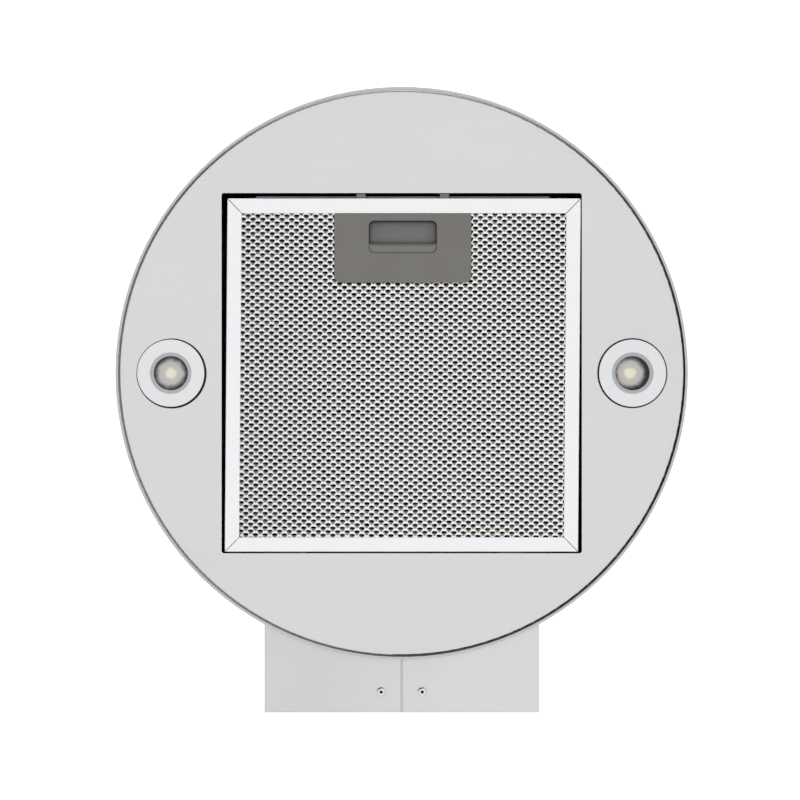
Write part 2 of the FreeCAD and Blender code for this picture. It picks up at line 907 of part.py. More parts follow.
def front_lip():
    """A lip folded out of the front rail's wall above the latch's tongues, which stiffens the rail."""
    across = (filter_half - s.front_lip_length / 2, filter_half + s.front_lip_length / 2)
    low = slider_top - filter_low + s.running_gap + s.rail_sheet
    return box("front_lip", across, (-s.front_lip_reach, s.rail_sheet), (low, low + s.rail_sheet))


def wedge(name, across, depth, up, back=0):
    """A bar along X with 45 degree mitres: its far face is shorter by its depth at each end."""
    made = doc.addObject("Part::Wedge", name)
    bind(made, "Xmin", across[0] + as_size(back))
    bind(made, "Xmax", across[1] - as_size(back))
    bind(made, "X2min", across[0] + as_size(depth))
    bind(made, "X2max", across[1] - as_size(depth))
    bind(made, "Ymin", back)
    bind(made, "Ymax", depth)
    for path in ("Zmin", "Z2min"):
        bind(made, path, up[0])
    for path in ("Zmax", "Z2max"):
        bind(made, path, up[1])
    return made


def filter_rails():
    """The four rails of the frame."""
    for quarter, word in enumerate(("front", "right", "rear", "left")):
        rail(f"filter_rail_{word}", quarter)


def mesh_notch(name, up):
    """The part of a mesh layer that the handle's housing takes up."""
    reach = housing_half + s.running_gap
    front = s.filter_shift_back - filter_half
    return box(
        name,
        (s.filter_shift_across - reach, s.filter_shift_across + reach),
        (front, housing_back + s.running_gap),
        up,
    )


def mesh_layer(name, low, thickness):
    """One plain layer with the handle's notch."""
    up = (low, low + thickness)
    slab = box(
        f"{name}_slab",
        (s.filter_shift_across - mesh_half, s.filter_shift_across + mesh_half),
        (s.filter_shift_back - mesh_half, s.filter_shift_back + mesh_half),
        up,
    )
    return cut(name, slab, mesh_notch(f"{name}_notch", up))


def diamond_net():
    """The face layer as one holed face: staggered rows of diamond gaps between strands."""
    window = 2 * (filter_half.value - sheet.get("rail_width"))
    columns = int(sheet.get("mesh_columns"))
    pitch = window / columns
    reach = (pitch - sheet.get("mesh_strand")) / 2
    half = mesh_half.value
    shift_across = sheet.get("filter_shift_across")
    shift_back = sheet.get("filter_shift_back")
    notch_half = housing_half.value + sheet.get("running_gap")
    notch_back = housing_back.value + sheet.get("running_gap")
    front = shift_back - half
    edge = [
        (shift_across - half, front),
        (shift_across - notch_half, front),
        (shift_across - notch_half, notch_back),
        (shift_across + notch_half, notch_back),
        (shift_across + notch_half, front),
        (shift_across + half, front),
        (shift_across + half, shift_back + half),
        (shift_across - half, shift_back + half),
    ]
    wires = [closed_wire(edge)]
    for row in range(2 * columns - 1):
        odd = row % 2
        back = shift_back - window / 2 + pitch * (row + 1) / 2
        for column in range(columns - odd):
            across = shift_across - window / 2 + pitch * (column + (1 + odd) / 2)
            aside = abs(across - shift_across) - reach > notch_half + sheet.get("mesh_strand")
            behind = back - reach > notch_back + sheet.get("mesh_strand")
            if aside or behind:
                diamond = [
                    (across - reach, back),
                    (across, back - reach),
                    (across + reach, back),
                    (across, back + reach),
                ]
                wires.append(closed_wire(diamond))
    face = Part.makeFace(wires, "Part::FaceMakerBullseye")
    print("face mesh gaps", len(wires) - 1)
    return face.extrude(Vector(0, 0, sheet.get("mesh_sheet")))


def closed_wire(corners):
    """A closed wire of straight lines through level corners."""
    points = [Vector(across, back, 0) for across, back in corners]
    return Part.makePolygon(points + points[:1])


def filter_mesh():
    """The face layer, the core layers between and the layer on top."""
    lower = doc.addObject("Part::Feature", "filter_mesh_lower")
    lower.Shape = diamond_net()
    node("filter_mesh_lower", lower, up=rail_low_top + s.seat_gap)
    core_low = rail_low_top + s.seat_gap + s.mesh_sheet
    core_high = rail_high_low - s.seat_gap - s.mesh_sheet
    layers = int(s.core_layers.value)
    room = (core_high - core_low - s.core_sheet * layers) / (layers + 1)
    sheets = []
    for number in range(layers):
        low = core_low + room * (number + 1) + s.core_sheet * number
        sheets.append(mesh_layer(f"core_layer_{number + 1}", low, s.core_sheet))
    node("filter_mesh_core", group("filter_mesh_core", *sheets))
    node("filter_mesh_upper", group("filter_mesh_upper", mesh_layer("upper_layer", core_high, s.mesh_sheet)))


def filter_lugs():
    """Two lugs behind the rear rail that rest on the panel and let the filter swing."""
    back = s.filter_shift_back + filter_half
    low = panel_top + s.fit_gap
    lugs = []
    for word, middle in (("left", -s.lug_spacing / 2), ("right", s.lug_spacing / 2)):
        centre = s.filter_shift_across + middle
        across = (centre - s.lug_width / 2, centre + s.lug_width / 2)
        lugs.append(box(f"lug_{word}", across, (back, back + s.lug_reach), (low, low + s.lug_sheet)))
    node("filter_lugs", group("filter_lugs", *lugs))


# Filter handle and latch


def rounded_block(name, across, back, up, radius):
    """A block with upright rounded corners."""
    inner_across = (across[0] + radius, across[1] - radius)
    inner_back = (back[0] + radius, back[1] - radius)
    shapes = [
        box(f"{name}_wide", across, inner_back, up),
        box(f"{name}_deep", inner_across, back, up),
    ]
    for x in inner_across:
        for y in inner_back:
            shapes.append(cylinder(f"{name}_corner_{len(shapes) - 1}", radius, up, (x, y)))
    return fuse(name, *shapes)


def slot_across():
    """The finger slot's two sides."""
    return (s.filter_shift_across - s.slot_width / 2, s.filter_shift_across + s.slot_width / 2)


def handle_plate():
    """The handle's face plate, flush with the frame, with its rear corners rounded and a finger slot."""
    across = (s.filter_shift_across - s.handle_width / 2, s.filter_shift_across + s.handle_width / 2)
    back = (handle_front, handle_front + s.handle_length)
    up = (filter_low, rail_low_top - s.seat_gap)
    plate = fuse(
        "handle_blank",
        rounded_block("handle_rounded", across, back, up, s.handle_corner),
        box("handle_square_front", across, (back[0], back[0] + s.handle_corner * 2), up),
    )
    slot_up = (filter_low - s.cut_margin, rail_low_top + s.cut_margin)
    slot = rounded_block("handle_slot", slot_across(), (slot_front, slot_back), slot_up, s.slot_corner)
    node("handle_plate", cut("handle_plate", plate, slot))


def handle_housing():
    """The box behind the face plate that guides the latch, open to the front rail."""
    middle = s.filter_shift_across
    front = handle_front
    made = cut(
        "handle_housing",
        box(
            "housing_block",
            (middle - housing_half, middle + housing_half),
            (front, housing_back),
            (rail_low_top, housing_top),
        ),
        box(
            "housing_hollow",
            (middle - housing_half + s.housing_wall, middle + housing_half - s.housing_wall),
            (front - s.cut_margin, housing_back - s.housing_wall),
            (rail_low_top - s.cut_margin, housing_top - s.housing_wall),
        ),
    )
    node("handle_housing", made)


def latch_slider():
    """The sliding latch: a plate with a finger scoop, two tongues and two spring seats."""
    middle = s.filter_shift_across
    half = housing_half - s.housing_wall - s.running_gap
    scoop_across = (slot_across()[0] - s.running_gap, slot_across()[1] + s.running_gap)
    scoop_back_range = (slot_front - s.running_gap, scoop_back)
    scoop_top = slider_low + s.scoop_depth
    shapes = [
        box(
            "slider_plate",
            (middle - half, middle + half),
            (slider_front, slider_back),
            (slider_low, slider_top),
        ),
        box(
            "scoop_tub",
            (scoop_across[0] - s.scoop_wall, scoop_across[1] + s.scoop_wall),
            (scoop_back_range[0] - s.scoop_wall, scoop_back_range[1] + s.scoop_wall),
            (slider_low, scoop_top + s.scoop_wall),
        ),
    ]
    for word, offset in (("left", -s.tongue_spacing / 2), ("right", s.tongue_spacing / 2)):
        across = (middle + offset - s.tongue_width / 2, middle + offset + s.tongue_width / 2)
        shapes.append(box(f"tongue_{word}", across, (tongue_tip, slider_back), (slider_low, slider_top)))
        seat_up = (slider_low, slider_low + s.spring_width + s.running_gap)
        seat_back = (slider_back - s.slider_sheet, slider_back)
        shapes.append(box(f"spring_seat_{word}", across, seat_back, seat_up))
    hollow = box("scoop_hollow", scoop_across, scoop_back_range, (slider_low - s.cut_margin, scoop_top))
    node("latch_slider", cut("latch_slider", fuse("slider_blank", *shapes), hollow))


def latch_springs():
    """Two meander strip springs between the latch's seats and the housing's back wall."""
    leg_count = 6
    pitch = (spring_room - s.spring_sheet - s.fit_gap * 2) / (leg_count - 1)
    up = (slider_low + s.fit_gap, slider_low + s.fit_gap + s.spring_width)
    springs = []
    for word, offset in (("left", -s.tongue_spacing / 2), ("right", s.tongue_spacing / 2)):
        left = s.filter_shift_across + offset - s.spring_width / 2
        right = left + s.spring_width
        strips = []
        for leg in range(leg_count):
            near = slider_back + s.fit_gap + pitch * leg
            strips.append(box(f"spring_leg_{word}_{leg}", (left, right), (near, near + s.spring_sheet), up))
            if leg < leg_count - 1:
                turn = (right - s.spring_sheet, right) if leg % 2 else (left, left + s.spring_sheet)
                along = (near, near + pitch + s.spring_sheet)
                strips.append(box(f"spring_turn_{word}_{leg}", turn, along, up))
        springs.append(fuse(f"spring_{word}", *strips))
    node("latch_springs", group("latch_springs", *springs))


# Lamps


def lamp(word, across):
    """One lamp from its ring up: bezel, lens, reflector, board with its diode, heat sink and clips."""
    neck = s.lamp_neck / 2
    neck_inside = neck - s.lamp_neck_wall
    window = s.lamp_window / 2
    ring = s.lamp_ring / 2
    bezel = turned(
        f"lamp_{word}_bezel",
        [
            (s.lamp_bevel / 2, -s.lamp_proud),
            (ring - s.lamp_edge, -s.lamp_proud),
            (ring, s.lamp_edge - s.lamp_proud),
            (ring, -s.seat_gap),
            (neck, -s.seat_gap),
            (neck, s.lamp_neck_height),
            (neck_inside, s.lamp_neck_height),
            (neck_inside, s.lamp_web),
            (window, s.lamp_web),
            (window, s.lamp_web - s.lamp_proud),
        ],
    )
    lens_low = s.lamp_web + s.seat_gap
    lens_high = lens_low + s.lens_flange
    lens_radius = window + s.lens_rim
    lens = turned(
        f"lamp_{word}_lens",
        [
            (0, -s.lamp_web),
            (window - s.fit_gap, -s.lamp_web),
            (window - s.fit_gap, lens_low),
            (lens_radius, lens_low),
            (lens_radius, lens_high),
            (0, lens_high),
        ],
    )
    cup_low = lens_high + s.seat_gap
    cup_high = cup_low + s.reflector_height
    cup_radius = neck_inside - s.fit_gap
    led = s.led_diameter / 2
    reflector = turned(
        f"lamp_{word}_reflector",
        [
            (lens_radius + s.fit_gap, lens_low),
            (cup_radius, lens_low),
            (cup_radius, cup_high),
            (led + s.fit_gap, cup_high),
            (window, cup_low),
            (lens_radius + s.fit_gap, cup_low),
        ],
    )
    board_low = cup_high + s.seat_gap
    board_high = board_low + s.led_board
    board = turned(
        f"lamp_{word}_led",
        [
            (0, board_low - s.led_height),
            (led, board_low - s.led_height),
            (led, board_low),
            (cup_radius, board_low),
            (cup_radius, board_high),
            (0, board_high),
        ],
    )
    pieces = {"bezel": bezel, "lens": lens, "reflector": reflector, "led": board}
    pieces["heat_sink"] = heat_sink(word, cup_radius, board_high + s.seat_gap)
    pieces["clips"] = lamp_clips(word, neck + s.seat_gap)
    for name, made in pieces.items():
        node(f"lamp_{word}_{name}", made, across, 0, s.panel_recess)


def heat_sink(word, radius, low):
    """The finned aluminium disc behind a lamp's board."""
    plate_top = low + s.sink_plate
    top = plate_top + s.sink_height
    count = int(s.sink_fins.value)
    pitch = (radius * 2 - s.sink_fin) / (count - 1)
    fins = []
    for number in range(count):
        left = pitch * number - radius
        fins.append(box(f"{word}_fin_{number + 1}", (left, left + s.sink_fin), (-radius, radius), (low, top)))
    block = cylinder(f"{word}_sink_round", radius, (low, top))
    comb = common(f"{word}_sink_comb", block, fuse(f"{word}_sink_fins", *fins))
    return fuse(f"lamp_{word}_heat_sink", cylinder(f"{word}_sink_plate", radius, (low, plate_top)), comb)


def lamp_clips(word, inner):
    """Two bent strips on a lamp's neck that press on the panel from above."""
    outer = inner + s.clip_sheet
    foot = s.panel_sheet + s.seat_gap
    toe = outer + s.clip_spread
    toe_inside = toe - s.clip_sheet - s.clip_sheet / 2
    strips = []
    for way in (1, -1):
        points = [
            (inner * way, s.lamp_neck_height),
            (outer * way, s.lamp_neck_height),
            (outer * way, s.clip_shoulder + s.clip_sheet / 2),
            (toe * way, foot),
            (toe_inside * way, foot),
            (inner * way, s.clip_shoulder),
        ]
        strip = padded(f"{word}_clip_{'rear' if way > 0 else 'front'}", "YZ_Plane", points, s.clip_width)
        place(strip, -s.clip_width / 2, 0, 0)
        strips.append(strip)
    return group(f"lamp_{word}_clips", *strips)


def lamps():
    """The two lamps, each midway between the filter opening and the panel's edge."""
    lamp("left", -lamp_offset)
    lamp("right", lamp_offset)


# Blower, drawn with the impeller's axis along Z


def blower_node(name, made):
    """Sets a blower piece into the hood with its axis across."""
    node(name, made, 0, s.blower_shift, s.blower_rise, BLOWER_TURN)


def scroll_arcs(name, along, shell):
    """The scroll's three quarter arcs, as shells or as full sectors, about stepped centres."""
    e = scroll_eccentric
    arcs = (
        ("back", (e, e), scroll_back_radius, -90),
        ("front", (e, -e), scroll_front_radius, 180),
        ("top", (-e, -e), scroll_top_radius, 90),
    )
    shapes = []
    for word, centre, radius, start in arcs:
        outside = radius + s.scroll_sheet
        if shell:
            shapes.append(arc_block(f"{name}_{word}", radius, outside, start, 90, along, centre))
        else:
            shapes.append(cylinder(f"{name}_{word}", outside, along, centre, start=start, sweep=90))
    return shapes


def blower_scroll():
    """The scroll's wrapped wall, open at the outlet on top."""
    along = (-side_plane, side_plane)
    e = scroll_eccentric
    t = s.scroll_sheet
    made = fuse(
        "scroll_wrap",
        *scroll_arcs("wrap", along, True),
        box("wrap_back_wall", (scroll_back, scroll_back + t), (e, s.outlet_rise), along),
        box("wrap_front_wall", (-e - t, -e), (scroll_top_radius - e, s.outlet_rise), along),
    )
    holes = []
    for number, (across, up) in enumerate(blower_screw_spots(), start=1):
        along_hole = (scroll_back - s.cut_margin, scroll_back + t + s.cut_margin)
        spot = (up - s.blower_rise, across)
        radius = s.blower_screw / 2 + s.fit_gap
        holes.append(cylinder(f"wrap_screw_hole_{number}", radius, along_hole, spot, "X"))
    blower_node("blower_scroll", cut("blower_scroll", made, *holes))


def blower_sides():
    """The two side plates, each with a round air inlet."""
    e = scroll_eccentric
    t = s.scroll_sheet
    for word, along in (("right", (side_plane, side_outside)), ("left", (-side_outside, -side_plane))):
        name = f"side_{word}"
        plate = fuse(
            f"{name}_plate",
            *scroll_arcs(name, along, False),
            box(f"{name}_outlet", (-e - t, scroll_back + t), (e, s.outlet_rise), along),
            box(f"{name}_middle", (-e, e), (-e, e), along),
        )
        inlet = cylinder(f"{name}_inlet", s.inlet_diameter / 2, along)
        blower_node(f"blower_{name}", cut(f"blower_{name}", plate, inlet))


def impeller():
    """The blower wheel: a hub disc, a cage of blades and a ring at each end."""
    half = s.impeller_width / 2
    radius = s.impeller_diameter / 2
    inner = radius - s.blade_depth
    bore = s.shaft_diameter / 2 + s.seat_gap
    hub = s.hub_diameter / 2
    body = turned(
        "impeller",
        [
            (bore, half - s.hub_length / 2),
            (hub, half - s.hub_length / 2),
            (hub, half - s.hub_sheet / 2),
            (radius, half - s.hub_sheet / 2),
            (radius, half + s.hub_sheet / 2),
            (hub, half + s.hub_sheet / 2),
            (hub, half + s.hub_length / 2),
            (bore, half + s.hub_length / 2),
        ],
    )
    lean = s.blade_depth / 2
    blade = add_pad(
        body,
        "impeller_blade",
        "XY_Plane",
        [
            (inner, 0),
            (inner + s.blade_sheet / 2, -s.blade_sheet),
            (radius - s.blade_sheet, lean - s.blade_sheet),
            (radius - s.blade_sheet - s.blade_sheet / 2, lean),
        ],
        s.impeller_width,
    )
    doc.recompute()
    cage = body.newObject("PartDesign::PolarPattern", "impeller_cage")
    cage.Originals = [blade]
    cage.Axis = (blade.Profile[0], ["N_Axis"])
    cage.Angle = 360
    bind(cage, "Occurrences", s.blade_count)
    body.Tip = cage
    doc.recompute()
    for word, low in (("near", 0), ("far", s.impeller_width - s.wheel_ring)):
        high = as_size(low) + s.wheel_ring
        add_turn(body, f"impeller_ring_{word}", [(inner, low), (radius, low), (radius, high), (inner, high)])
    made = group("impeller_wheel", body)
    place(body, 0, 0, -half)
    blower_node("impeller", made)


def motor_parts():
    """The motor inside the wheel, its shaft, the three armed bracket and the run capacitor."""
    shaft = s.shaft_diameter / 2
    front = s.hub_length / 2 + s.motor_gap
    back = side_outside + s.seat_gap
    can = s.motor_diameter / 2
    motor = turned(
        "motor",
        [
            (shaft + s.shaft_gap, front),
            (can - s.motor_step, front),
            (can, front + s.motor_step),
            (can, back - s.motor_step),
            (can - s.motor_step, back),
            (0, back),
            (0, front + s.shaft_engage),
            (shaft + s.shaft_gap, front + s.shaft_engage),
        ],
    )
    blower_node("motor", motor)
    shaft_along = (-s.hub_length / 2, front + s.shaft_engage - s.running_gap)
    blower_node("motor_shaft", group("motor_shaft", cylinder("shaft_bar", shaft, shaft_along)))
    arm_along = (back + s.seat_gap, back + s.seat_gap + s.motor_arm_sheet)
    reach = s.inlet_diameter / 2 + s.motor_arm_grip
    shapes = [cylinder("motor_plate", can, arm_along)]
    for number in range(3):
        arm_across = (-s.motor_arm_width / 2, s.motor_arm_width / 2)
        arm = box(f"motor_arm_{number + 1}", (0, reach), arm_across, arm_along)
        turned_arm = group(f"motor_arm_turned_{number + 1}", arm)
        turned_arm.Placement = Placement(Vector(), Rotation(Vector(0, 0, 1), 90 + 120 * number))
        shapes.append(turned_arm)
    blower_node("motor_bracket", fuse("motor_bracket", *shapes))
    radius = s.capacitor_diameter / 2
    spot = (scroll_back / 2, side_outside + s.fit_gap + radius)
    along = (s.outlet_rise - s.capacitor_length - s.running_gap, s.outlet_rise - s.running_gap)
    case = cylinder("capacitor_case", radius, along, spot, "Y")
    blower_node("motor_capacitor", group("motor_capacitor", case))


def blower_screws():
    """Screws that hold the scroll to the spine, with their heads behind the spine."""
    seat = spine_back + s.seat_gap
    screws = []
    for number, spot in enumerate(blower_screw_spots(), start=1):
        shank_along = (seat - s.blower_screw_length, seat)
        head_along = (seat, seat + s.blower_screw_head_height)
        shank = cylinder(f"blower_shank_{number}", s.blower_screw / 2, shank_along, spot, "Y")
        head = cylinder(f"blower_head_{number}", s.blower_screw_head / 2, head_along, spot, "Y")
        screws.append(fuse(f"blower_screw_{number}", shank, head))
    node("blower_screws", group("blower_screws", *screws))


# Lid, outlet collar, damper and junction box


def plenum_lid():
    """The plate that closes the intake space around the blower's outlet."""
    radius = chimney_inside - s.lid_gap
    made = cut(
        "plenum_lid",
        cylinder("lid_block", radius, (lid_top - s.lid_rim, lid_top)),
        cylinder("lid_hollow", radius - s.lid_sheet, (lid_top - s.lid_rim, lid_low)),
        cylinder("lid_outlet", collar_bore, (lid_low, lid_top), (0, collar_shift)),
        *collar_screw_bars("lid_hole", s.fit_gap, (lid_low, lid_top)),
    )
    node("plenum_lid", made)


def collar_screw_bars(name, gap, along, diameter=None):
    """Four bars at the collar's flange screws."""
    radius = (diameter or s.blower_screw) / 2 + gap
    reach = (collar_radius + s.collar_flange / 2) * math.sqrt(0.5)
    bars = []
    for across in (-reach, reach):
        for back in (-reach, reach):
            bars.append(cylinder(f"{name}_{len(bars) + 1}", radius, along, (across, collar_shift + back)))
    return bars


def outlet_collar():
    """The duct collar with its flange, the ledge that the damper closes on and holes for the pin."""
    at = (0, collar_shift)
    flange_top = collar_low + s.collar_flange_sheet
    top = collar_low + s.collar_height
    ledge_top = damper_axis - s.damper_sheet / 2 - s.running_gap
    shell = fuse(
        "collar_blank",
        cylinder("collar_flange_disc", collar_radius + s.collar_flange, (collar_low, flange_top), at),
        cylinder("collar_pipe", collar_radius, (collar_low, top), at),
    )
    made = cut(
        "outlet_collar",
        shell,
        cylinder("collar_bore_low", collar_bore, (collar_low, ledge_top - s.ledge_height), at),
        cylinder("collar_bore_ledge", collar_bore - s.ledge_width, (collar_low, top), at),
        cylinder("collar_bore_high", collar_bore, (ledge_top, top), at),
        cylinder(
            "collar_pin_hole",
            s.damper_pin / 2 + s.seat_gap,
            (-collar_radius, collar_radius),
            (collar_shift, damper_axis),
            "X",
        ),
        *collar_screw_bars("collar_hole", s.fit_gap, (collar_low, flange_top)),
    )
    node("outlet_collar", made)


def collar_screws():
    """Four screws through the collar's flange into the lid."""
    seat = collar_low + s.collar_flange_sheet + s.seat_gap
    shanks = collar_screw_bars("collar_shank", 0, (seat - s.blower_screw_length, seat))
    head_along = (seat, seat + s.blower_screw_head_height)
    heads = collar_screw_bars("collar_head", 0, head_along, s.blower_screw_head)
    screws = [fuse(f"collar_screw_{n}", *pair) for n, pair in enumerate(zip(shanks, heads), start=1)]
    node("collar_screws", group("collar_screws", *screws))


def damper():
    """The back draught damper: two half round flaps that swing up on one pin."""
    at = (collar_shift, damper_axis)
    reach = collar_radius - s.fit_gap
    pin = cylinder("damper_pin_bar", s.damper_pin / 2, (-reach, reach), at, "X")
    node("damper_pin", group("damper_pin", pin))
    radius = collar_bore - s.damper_gap
    barrel = s.damper_barrel / 2
    bore = s.damper_pin / 2 + s.fit_gap
    knuckle = s.damper_knuckle
    up = (damper_axis - s.damper_sheet / 2, damper_axis + s.damper_sheet / 2)
    clear = barrel + s.running_gap
    for word, way, starts in (("rear", 1, (-knuckle * 2, knuckle)), ("front", -1, (-knuckle, knuckle * 2))):
        name = f"flap_{word}"
        far = collar_shift + radius * way
        near = collar_shift + clear * way
        disc = cylinder(f"{name}_disc", radius, up, (0, collar_shift))
        half = box(f"{name}_half", (-radius, radius), (near, far) if way > 0 else (far, near), up)
        shapes = [common(f"{name}_plate", disc, half)]
        for number, start in enumerate(starts, start=1):
            across = (start + s.running_gap, start + knuckle - s.running_gap)
            back = (collar_shift, near) if way > 0 else (near, collar_shift)
            shapes.append(box(f"{name}_web_{number}", across, back, up))
            shapes.append(cylinder(f"{name}_barrel_{number}", barrel, across, at, "X"))
        hole = cylinder(f"{name}_hole", bore, (-radius, radius), at, "X")
        node(f"damper_{name}", cut(f"damper_{name}", fuse(f"{name}_blank", *shapes), hole))


def junction_box():
    """The terminal box on the lid, with a rubber grommet for the supply cable."""
    half = s.junction_width / 2
    low = lid_top + s.seat_gap
    top = low + s.junction_height
    back = (s.junction_shift - s.junction_depth / 2, s.junction_shift + s.junction_depth / 2)
    wall = s.junction_wall
    hollow_back = (back[0] + wall, back[1] - wall)
    at = (0, s.junction_shift)
    neck = s.cable_bore / 2 + s.grommet_wall
    made = cut(
        "junction_box",
        box("junction_block", (-half, half), back, (low, top)),
        box("junction_hollow", (wall - half, half - wall), hollow_back, (low, top - wall)),
        cylinder("junction_hole", neck + s.seat_gap, (low, top), at),
    )
    node("junction_box", made)
    lip = neck + s.grommet_lip_width
    low_seat = top - wall - s.seat_gap
    high_seat = top + s.seat_gap
    bore = s.cable_bore / 2
    profile = [
        (bore, low_seat - s.grommet_lip),
        (lip, low_seat - s.grommet_lip),
        (lip, low_seat),
        (neck, low_seat),
        (neck, high_seat),
        (lip, high_seat),
        (lip, high_seat + s.grommet_lip),
        (bore, high_seat + s.grommet_lip),
    ]
    node("cable_grommet", turned("cable_grommet", profile), 0, s.junction_shift, 0)


# Controls on the front of the tube


def control_block(name, inside, outside, gap, along):
    """A sector of a ring behind the tube's front, drawn in by a gap at both ends."""
    sweep = s.control_sweep - gap * 2
    return arc_block(name, inside, outside, 270 - sweep / 2, sweep, along)


def control_housing():
    """The curved box behind the buttons."""
    wall = s.control_wall
    up = (s.control_rise, s.control_rise + s.control_height)
    inner_up = (s.control_rise + wall, s.control_rise + s.control_height - wall)
    wall_angle = wall / control_inside * (180 / math.pi)
    made = cut(
        "control_housing",
        control_block("control_shell", control_inside, control_outside, as_size(0), up),
        control_block("control_hollow", control_inside + wall, control_cavity, wall_angle, inner_up),
        *button_holes("housing", (control_cavity - s.cut_margin, control_outside + s.cut_margin)),
    )
    node("control_housing", made)


def button_levels():
    """A button's flange and cap, as distances from the tube's axis."""
    half = s.button_diameter / 2 + s.button_flange
    flange_front = root(control_cavity * control_cavity - half * half) - s.running_gap
    return flange_front - s.button_flange_height, flange_front, tube_radius + s.button_proud


def control_board():
    """The board with a switch behind each button."""
    wall = s.control_wall
    half = s.control_board_width / 2
    flange_back = button_levels()[0]
    switch_front = flange_back - s.button_travel - s.running_gap
    edge = s.button_angle * 2
    board_front = -(switch_front * cosine(edge) - s.switch_size / 2 - s.running_gap)
    up = (s.control_rise + wall + s.seat_gap, s.control_rise + s.control_height - wall - s.seat_gap)
    shapes = [box("board_plate", (-half, half), (board_front, board_front + s.control_board), up)]
    for number, angle in enumerate(button_angles(), start=1):
        front = -(switch_front * cosine(angle) - s.switch_size / 2)
        middle = switch_front * sine(angle)
        across = (middle - s.switch_size / 2, middle + s.switch_size / 2)
        switch_up = (control_middle - s.switch_size / 2, control_middle + s.switch_size / 2)
        back = (front, board_front + s.control_board)
        shapes.append(box(f"board_switch_{number}", across, back, switch_up))
    node("control_board", fuse("control_board", *shapes))


def buttons():
    """Five push buttons that travel along the tube's radius."""
    back, flange, face = button_levels()
    radius = s.button_diameter / 2
    words = ("power", "speed_1", "speed_2", "speed_3", "light")
    for word, angle in zip(words, button_angles()):
        profile = [
            (0, 0),
            (radius + s.button_flange, 0),
            (radius + s.button_flange, flange - back),
            (radius, flange - back),
            (radius, face - back - s.button_edge),
            (radius - s.button_edge, face - back),
            (0, face - back),
        ]
        body = turned(f"button_{word}", profile)
        across = back * sine(angle)
        node(f"button_{word}", body, across, -(back * cosine(angle)), control_middle, front_turn(angle))


def report_places():
    """Prints the joint axes and mounts in the wall frame, in millimetres."""
    collar_seat = collar_low + s.collar_flange_sheet
    places = {
        "tube axis": (0, -wall_distance, -bolt_rise),
        "filter hinge": (0, opening_half - wall_distance, panel_top - bolt_rise),
        "impeller axis": (0, s.blower_shift - wall_distance, s.blower_rise - bolt_rise),
        "damper axis": (0, collar_shift - wall_distance, damper_axis - bolt_rise),
        "collar top": (0, collar_shift - wall_distance, collar_low + s.collar_height - bolt_rise),
        "collar flange top": (0, collar_shift - wall_distance, collar_seat - bolt_rise),
        "grommet top": (0, s.junction_shift - wall_distance, lid_top + s.junction_height - bolt_rise),
        "lamp right": (lamp_offset, -wall_distance, s.panel_recess - bolt_rise),
        "button height": (0, -wall_distance, control_middle - bolt_rise),
    }
    for name, spot in places.items():
        print(name, [round(as_size(value).value, 3) for value in spot])


def check_and_write():
    """Stops on any failed object or shape, then writes one file for each piece."""
    failed = [made.Name for made in doc.Objects if {"Invalid", "Error"} & set(made.State)]
    if failed:
        raise RuntimeError(f"objects failed: {failed}")
    for name, made in NODES.items():
        if made.Shape.isNull() or not made.Shape.isValid() or not made.Shape.Solids:
            raise RuntimeError(f"bad shape: {name}")
    os.makedirs("parts", exist_ok=True)
    for name, made in NODES.items():
        made.Shape.exportStep(f"parts/{name}.step")
    print("pieces written", len(NODES))


body_tube()
chimney_tube()
chimney_stops()
rear_covers()
cover_screws()
wall_bracket()
spine_frame()
hanger_bolts()
base_panel()
panel_brackets()
panel_screws()
filter_rails()
filter_mesh()
filter_lugs()
handle_plate()
handle_housing()
latch_slider()
latch_springs()
lamps()
blower_scroll()
blower_sides()
impeller()
motor_parts()
blower_screws()
plenum_lid()
outlet_collar()
collar_screws()
damper()
junction_box()
control_housing()
control_board()
buttons()
doc.recompute()
report_places()
check_and_write()
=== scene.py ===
# %% [markdown]
# # A round wall hood, seen from below
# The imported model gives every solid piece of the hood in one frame: the wall is the plane y = 0,
# z points up and the room lies on the -y side. This lesson loads those pieces, gives each of them
# the finish of its real material, and replaces the ones that the eye comes close to - the filter's
# frame and mesh, the handle, the lamps and the screws - with finer surfaces worked out with numpy.

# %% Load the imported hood
import json
import math

import bmesh
import bpy
import numpy as np
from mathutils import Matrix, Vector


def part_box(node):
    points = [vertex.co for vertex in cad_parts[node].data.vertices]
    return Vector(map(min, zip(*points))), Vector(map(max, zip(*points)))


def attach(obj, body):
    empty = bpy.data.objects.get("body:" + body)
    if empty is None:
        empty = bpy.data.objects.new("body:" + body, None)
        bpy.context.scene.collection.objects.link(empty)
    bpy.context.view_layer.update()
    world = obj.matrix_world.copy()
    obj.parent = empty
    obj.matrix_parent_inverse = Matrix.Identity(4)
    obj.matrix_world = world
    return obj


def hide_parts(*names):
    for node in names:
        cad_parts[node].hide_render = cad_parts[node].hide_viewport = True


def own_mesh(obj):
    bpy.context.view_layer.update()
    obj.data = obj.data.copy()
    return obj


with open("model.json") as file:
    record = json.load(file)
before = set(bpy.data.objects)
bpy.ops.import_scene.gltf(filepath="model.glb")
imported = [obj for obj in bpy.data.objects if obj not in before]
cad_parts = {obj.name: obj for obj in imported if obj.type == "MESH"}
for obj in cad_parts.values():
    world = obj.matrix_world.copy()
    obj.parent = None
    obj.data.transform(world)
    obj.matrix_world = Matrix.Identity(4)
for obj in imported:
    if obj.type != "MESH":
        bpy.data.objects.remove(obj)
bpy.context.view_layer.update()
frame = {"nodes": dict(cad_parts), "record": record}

# %% [markdown]
# ## One ruler for all the pieces
# A maker would measure this hood in millimetres from the middle of its lower rim. Blender works in
# metres from the wall bolts, so one function turns the maker's millimetres into the frame's metres.

